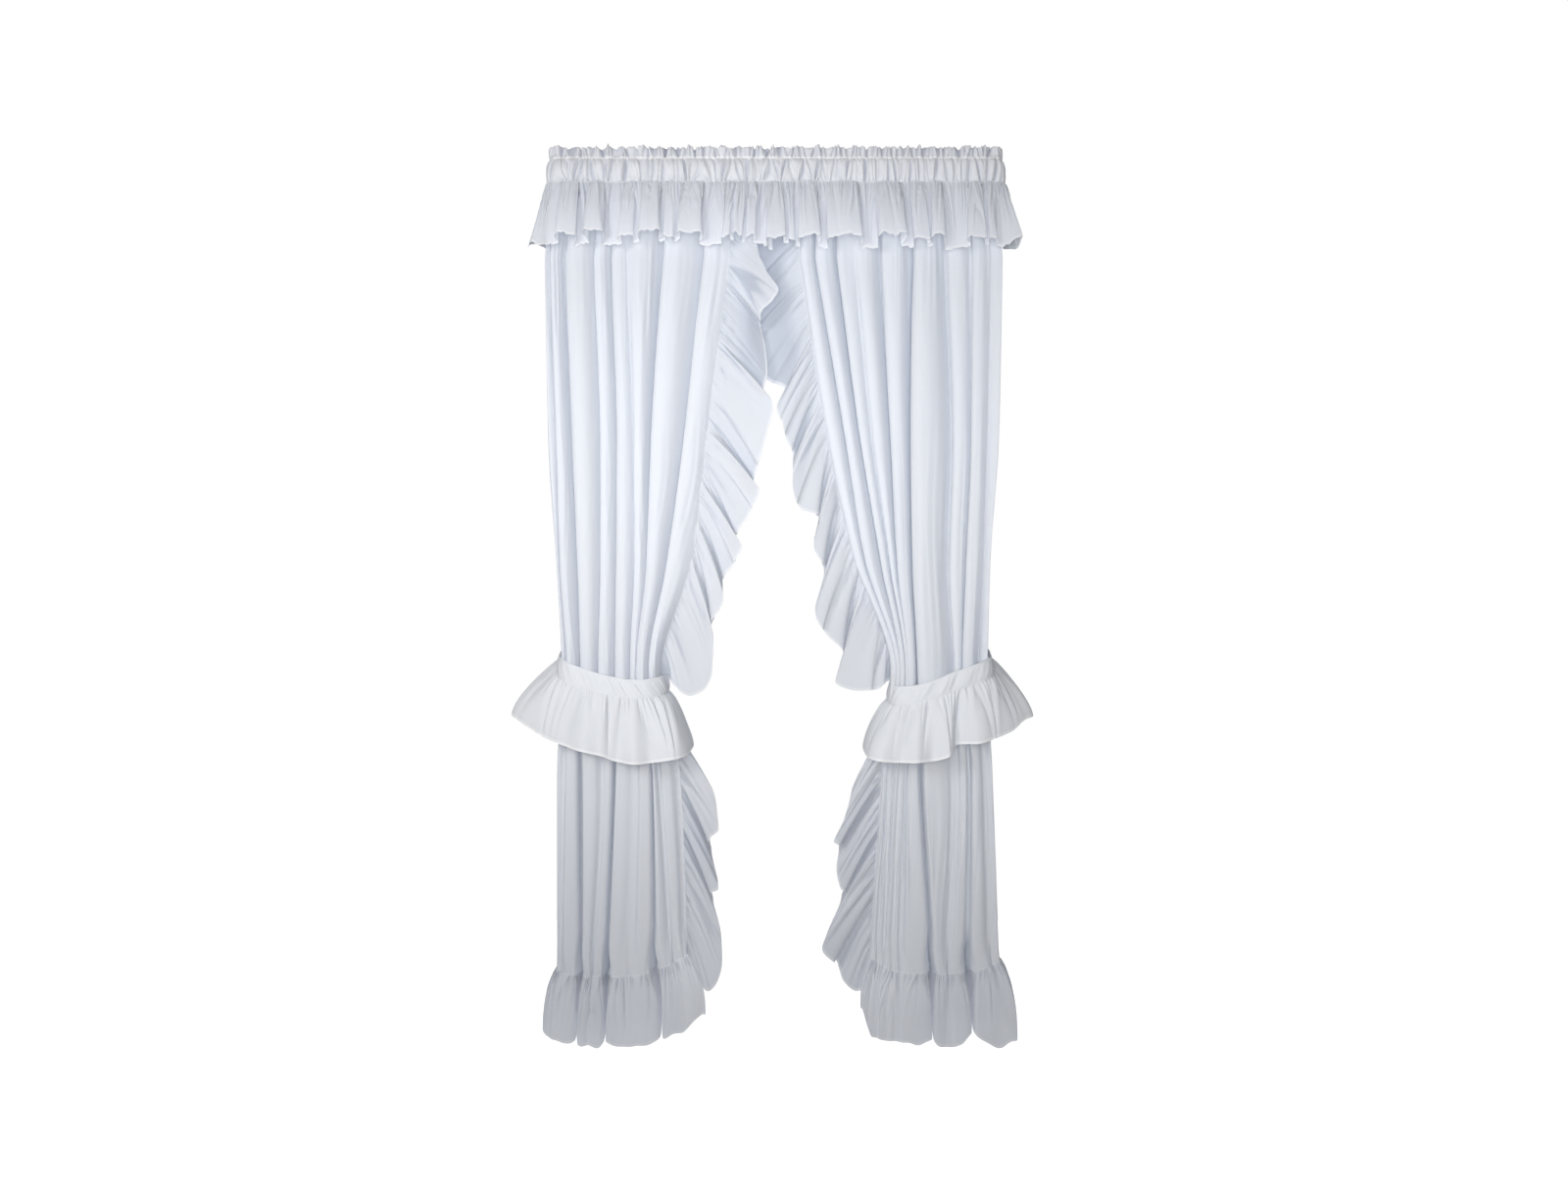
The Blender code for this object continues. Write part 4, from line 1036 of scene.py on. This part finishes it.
# These are one batiste, made lighter or darker piece by piece to even out the light: the heading's is the
# whitest and the tie's the greyest. That difference is painted light and shade, and so are the shade colours
# that the painted shade mixes in.
CLOTHS = {
    "panel_cloth": batiste("panel batiste", (0.912, 0.917, 0.929, 1), (0.70, 0.75, 0.86, 1), 0.40),
    "heading_cloth": batiste("heading batiste", (0.955, 0.966, 0.992, 1), (0.40, 0.44, 0.57, 1), 0.10),
    "ruffle_cloth": batiste("ruffle batiste", (0.905, 0.912, 0.934, 1), (0.60, 0.632, 0.712, 1), 0.42),
    "tie_cloth": batiste("tie batiste", (0.835, 0.852, 0.88, 1), (0.64, 0.67, 0.74, 1), 0.20),
}
# The valance has a whiter, less sheer copy of the ruffle batiste, only because the shared one looks too dark
# under these lights: painted light.
VALANCE_LIGHTENED = {"valance": batiste("lightened valance batiste", (0.91, 0.926, 0.964, 1), (0.60, 0.632, 0.72, 1), 0.32)}

# %% [markdown]
# ## Each sheet's flat size
# A gathered piece starts as a flat strip. The sizes below are guesses at each piece's cut before it was
# drawn up, in metres. Those of the heading, the valance and the tie ruffle were fitted to the cloth made
# above, and the edge ruffle's 0.10 is less than the 0.13 that its reach suggests.

# %% Put each piece in its place

Cut = namedtuple("Cut", "slot flat held rests_on")
CUTS = {
    "heading": Cut("heading_cloth", (0.889, 0.20), "gathered", []),
    "panel": Cut("panel_cloth", (0.889, 1.86), "hung", ["heading"]),
    "valance": Cut("ruffle_cloth", (0.95, 0.162), "gathered", ["heading"]),
    "edge_ruffle": Cut("ruffle_cloth", (2.73, 0.10), "gathered", ["panel"]),
    "hem_ruffle": Cut("ruffle_cloth", (1.2, 0.152), "gathered", ["panel"]),
    "tie_band": Cut("tie_cloth", (0.75, 0.09), "gathered", ["panel"]),
    "tie_ruffle": Cut("tie_cloth", (1.0, 0.152), "gathered", ["tie_band"]),
}
for hand in ("left", "right"):
    for part, cut in CUTS.items():
        piece = pieces[f"{hand}_{part}_cloth"]
        piece.data.materials.append(VALANCE_LIGHTENED.get(part, CLOTHS[cut.slot]))
        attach(piece, "root")
        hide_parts(f"{hand}_{part}")
print(len(pieces), "sheets of cloth")

# %% [markdown]
# ## Floor, light and camera
# The room is plain: a pale floor and a white surround. A key light stands to the left, a stronger one
# straight in front at mid height fills the folds, and a cool one behind and above stands for the window.
# The camera stands straight in front, at half the curtains' height.

# %% The floor

FLOOR_Z = -2160.0
floor_mesh = bpy.data.meshes.new("floor")
corners = [(x, y, FLOOR_Z * MM) for x, y in ((-2.6, -1.2), (2.6, -1.2), (2.6, 1.2), (-2.6, 1.2))]
floor_mesh.from_pydata(corners, [], [(0, 1, 2, 3)])
floor = placed("floor", floor_mesh)
ground = Finish("pale floor")
ground.shader.inputs["Base Color"].default_value = (0.9, 0.9, 0.9, 1)
ground.shader.inputs["Roughness"].default_value = 0.9
ground.shader.inputs["Emission Color"].default_value = (1, 1, 1, 1)
ground.shader.inputs["Emission Strength"].default_value = 0.95
floor_mesh.materials.append(ground.material)
floor.visible_diffuse = False

# %% The light

scene = bpy.context.scene
scene.view_settings.view_transform = "Standard"
room = bpy.data.worlds.new("room")
room.use_nodes = True
scene.world = room
surround, seen = room.node_tree.nodes["Background"], room.node_tree.nodes.new("ShaderNodeBackground")
for node, white, strength in ((surround, 0.99, 0.215), (seen, 1, 1.0)):
    node.inputs["Color"].default_value = (white, white, white, 1)
    node.inputs["Strength"].default_value = strength
path = room.node_tree.nodes.new("ShaderNodeLightPath")
which = room.node_tree.nodes.new("ShaderNodeMixShader")
room.node_tree.links.new(path.outputs["Is Camera Ray"], which.inputs[0])
room.node_tree.links.new(surround.outputs[0], which.inputs[1])
room.node_tree.links.new(seen.outputs[0], which.inputs[2])
room.node_tree.links.new(which.outputs[0], room.node_tree.nodes["World Output"].inputs["Surface"])


def soft_light(name, place, aim, width, height, watts, colour, spread=180):
    data = bpy.data.lights.new(name, "AREA")
    data.shape = "RECTANGLE"
    data.size, data.size_y, data.energy, data.color = width, height, watts, colour
    data.spread = np.radians(spread)
    light = placed(name, data)
    light.location = place
    light.rotation_euler = (Vector(aim) - Vector(place)).to_track_quat("-Z", "Y").to_euler()


soft_light("key", (-1.5, -1.9, -0.35), (-0.1, 0, -0.90), 1.0, 0.9, 6.5, (1.0, 0.99, 0.975), 85)
soft_light("front", (0.0, -2.6, -0.95), (0.0, 0, -0.74), 1.2, 0.9, 11.7, (1.0, 0.99, 0.97), 80)
soft_light("window", (0.0, 1.7, 0.1), (0, 0, -0.6), 1.6, 1.0, 3.1, (0.66, 0.80, 1.0), 75)

# %% The camera

camera_data = bpy.data.cameras.new("camera")
camera_data.sensor_width = 36.0
camera_data.lens = 27.16
camera = placed("camera", camera_data)
camera.location = (0.019, -2.8, -1.071)
camera.rotation_euler = (np.pi / 2, 0, 0)
scene.camera = camera
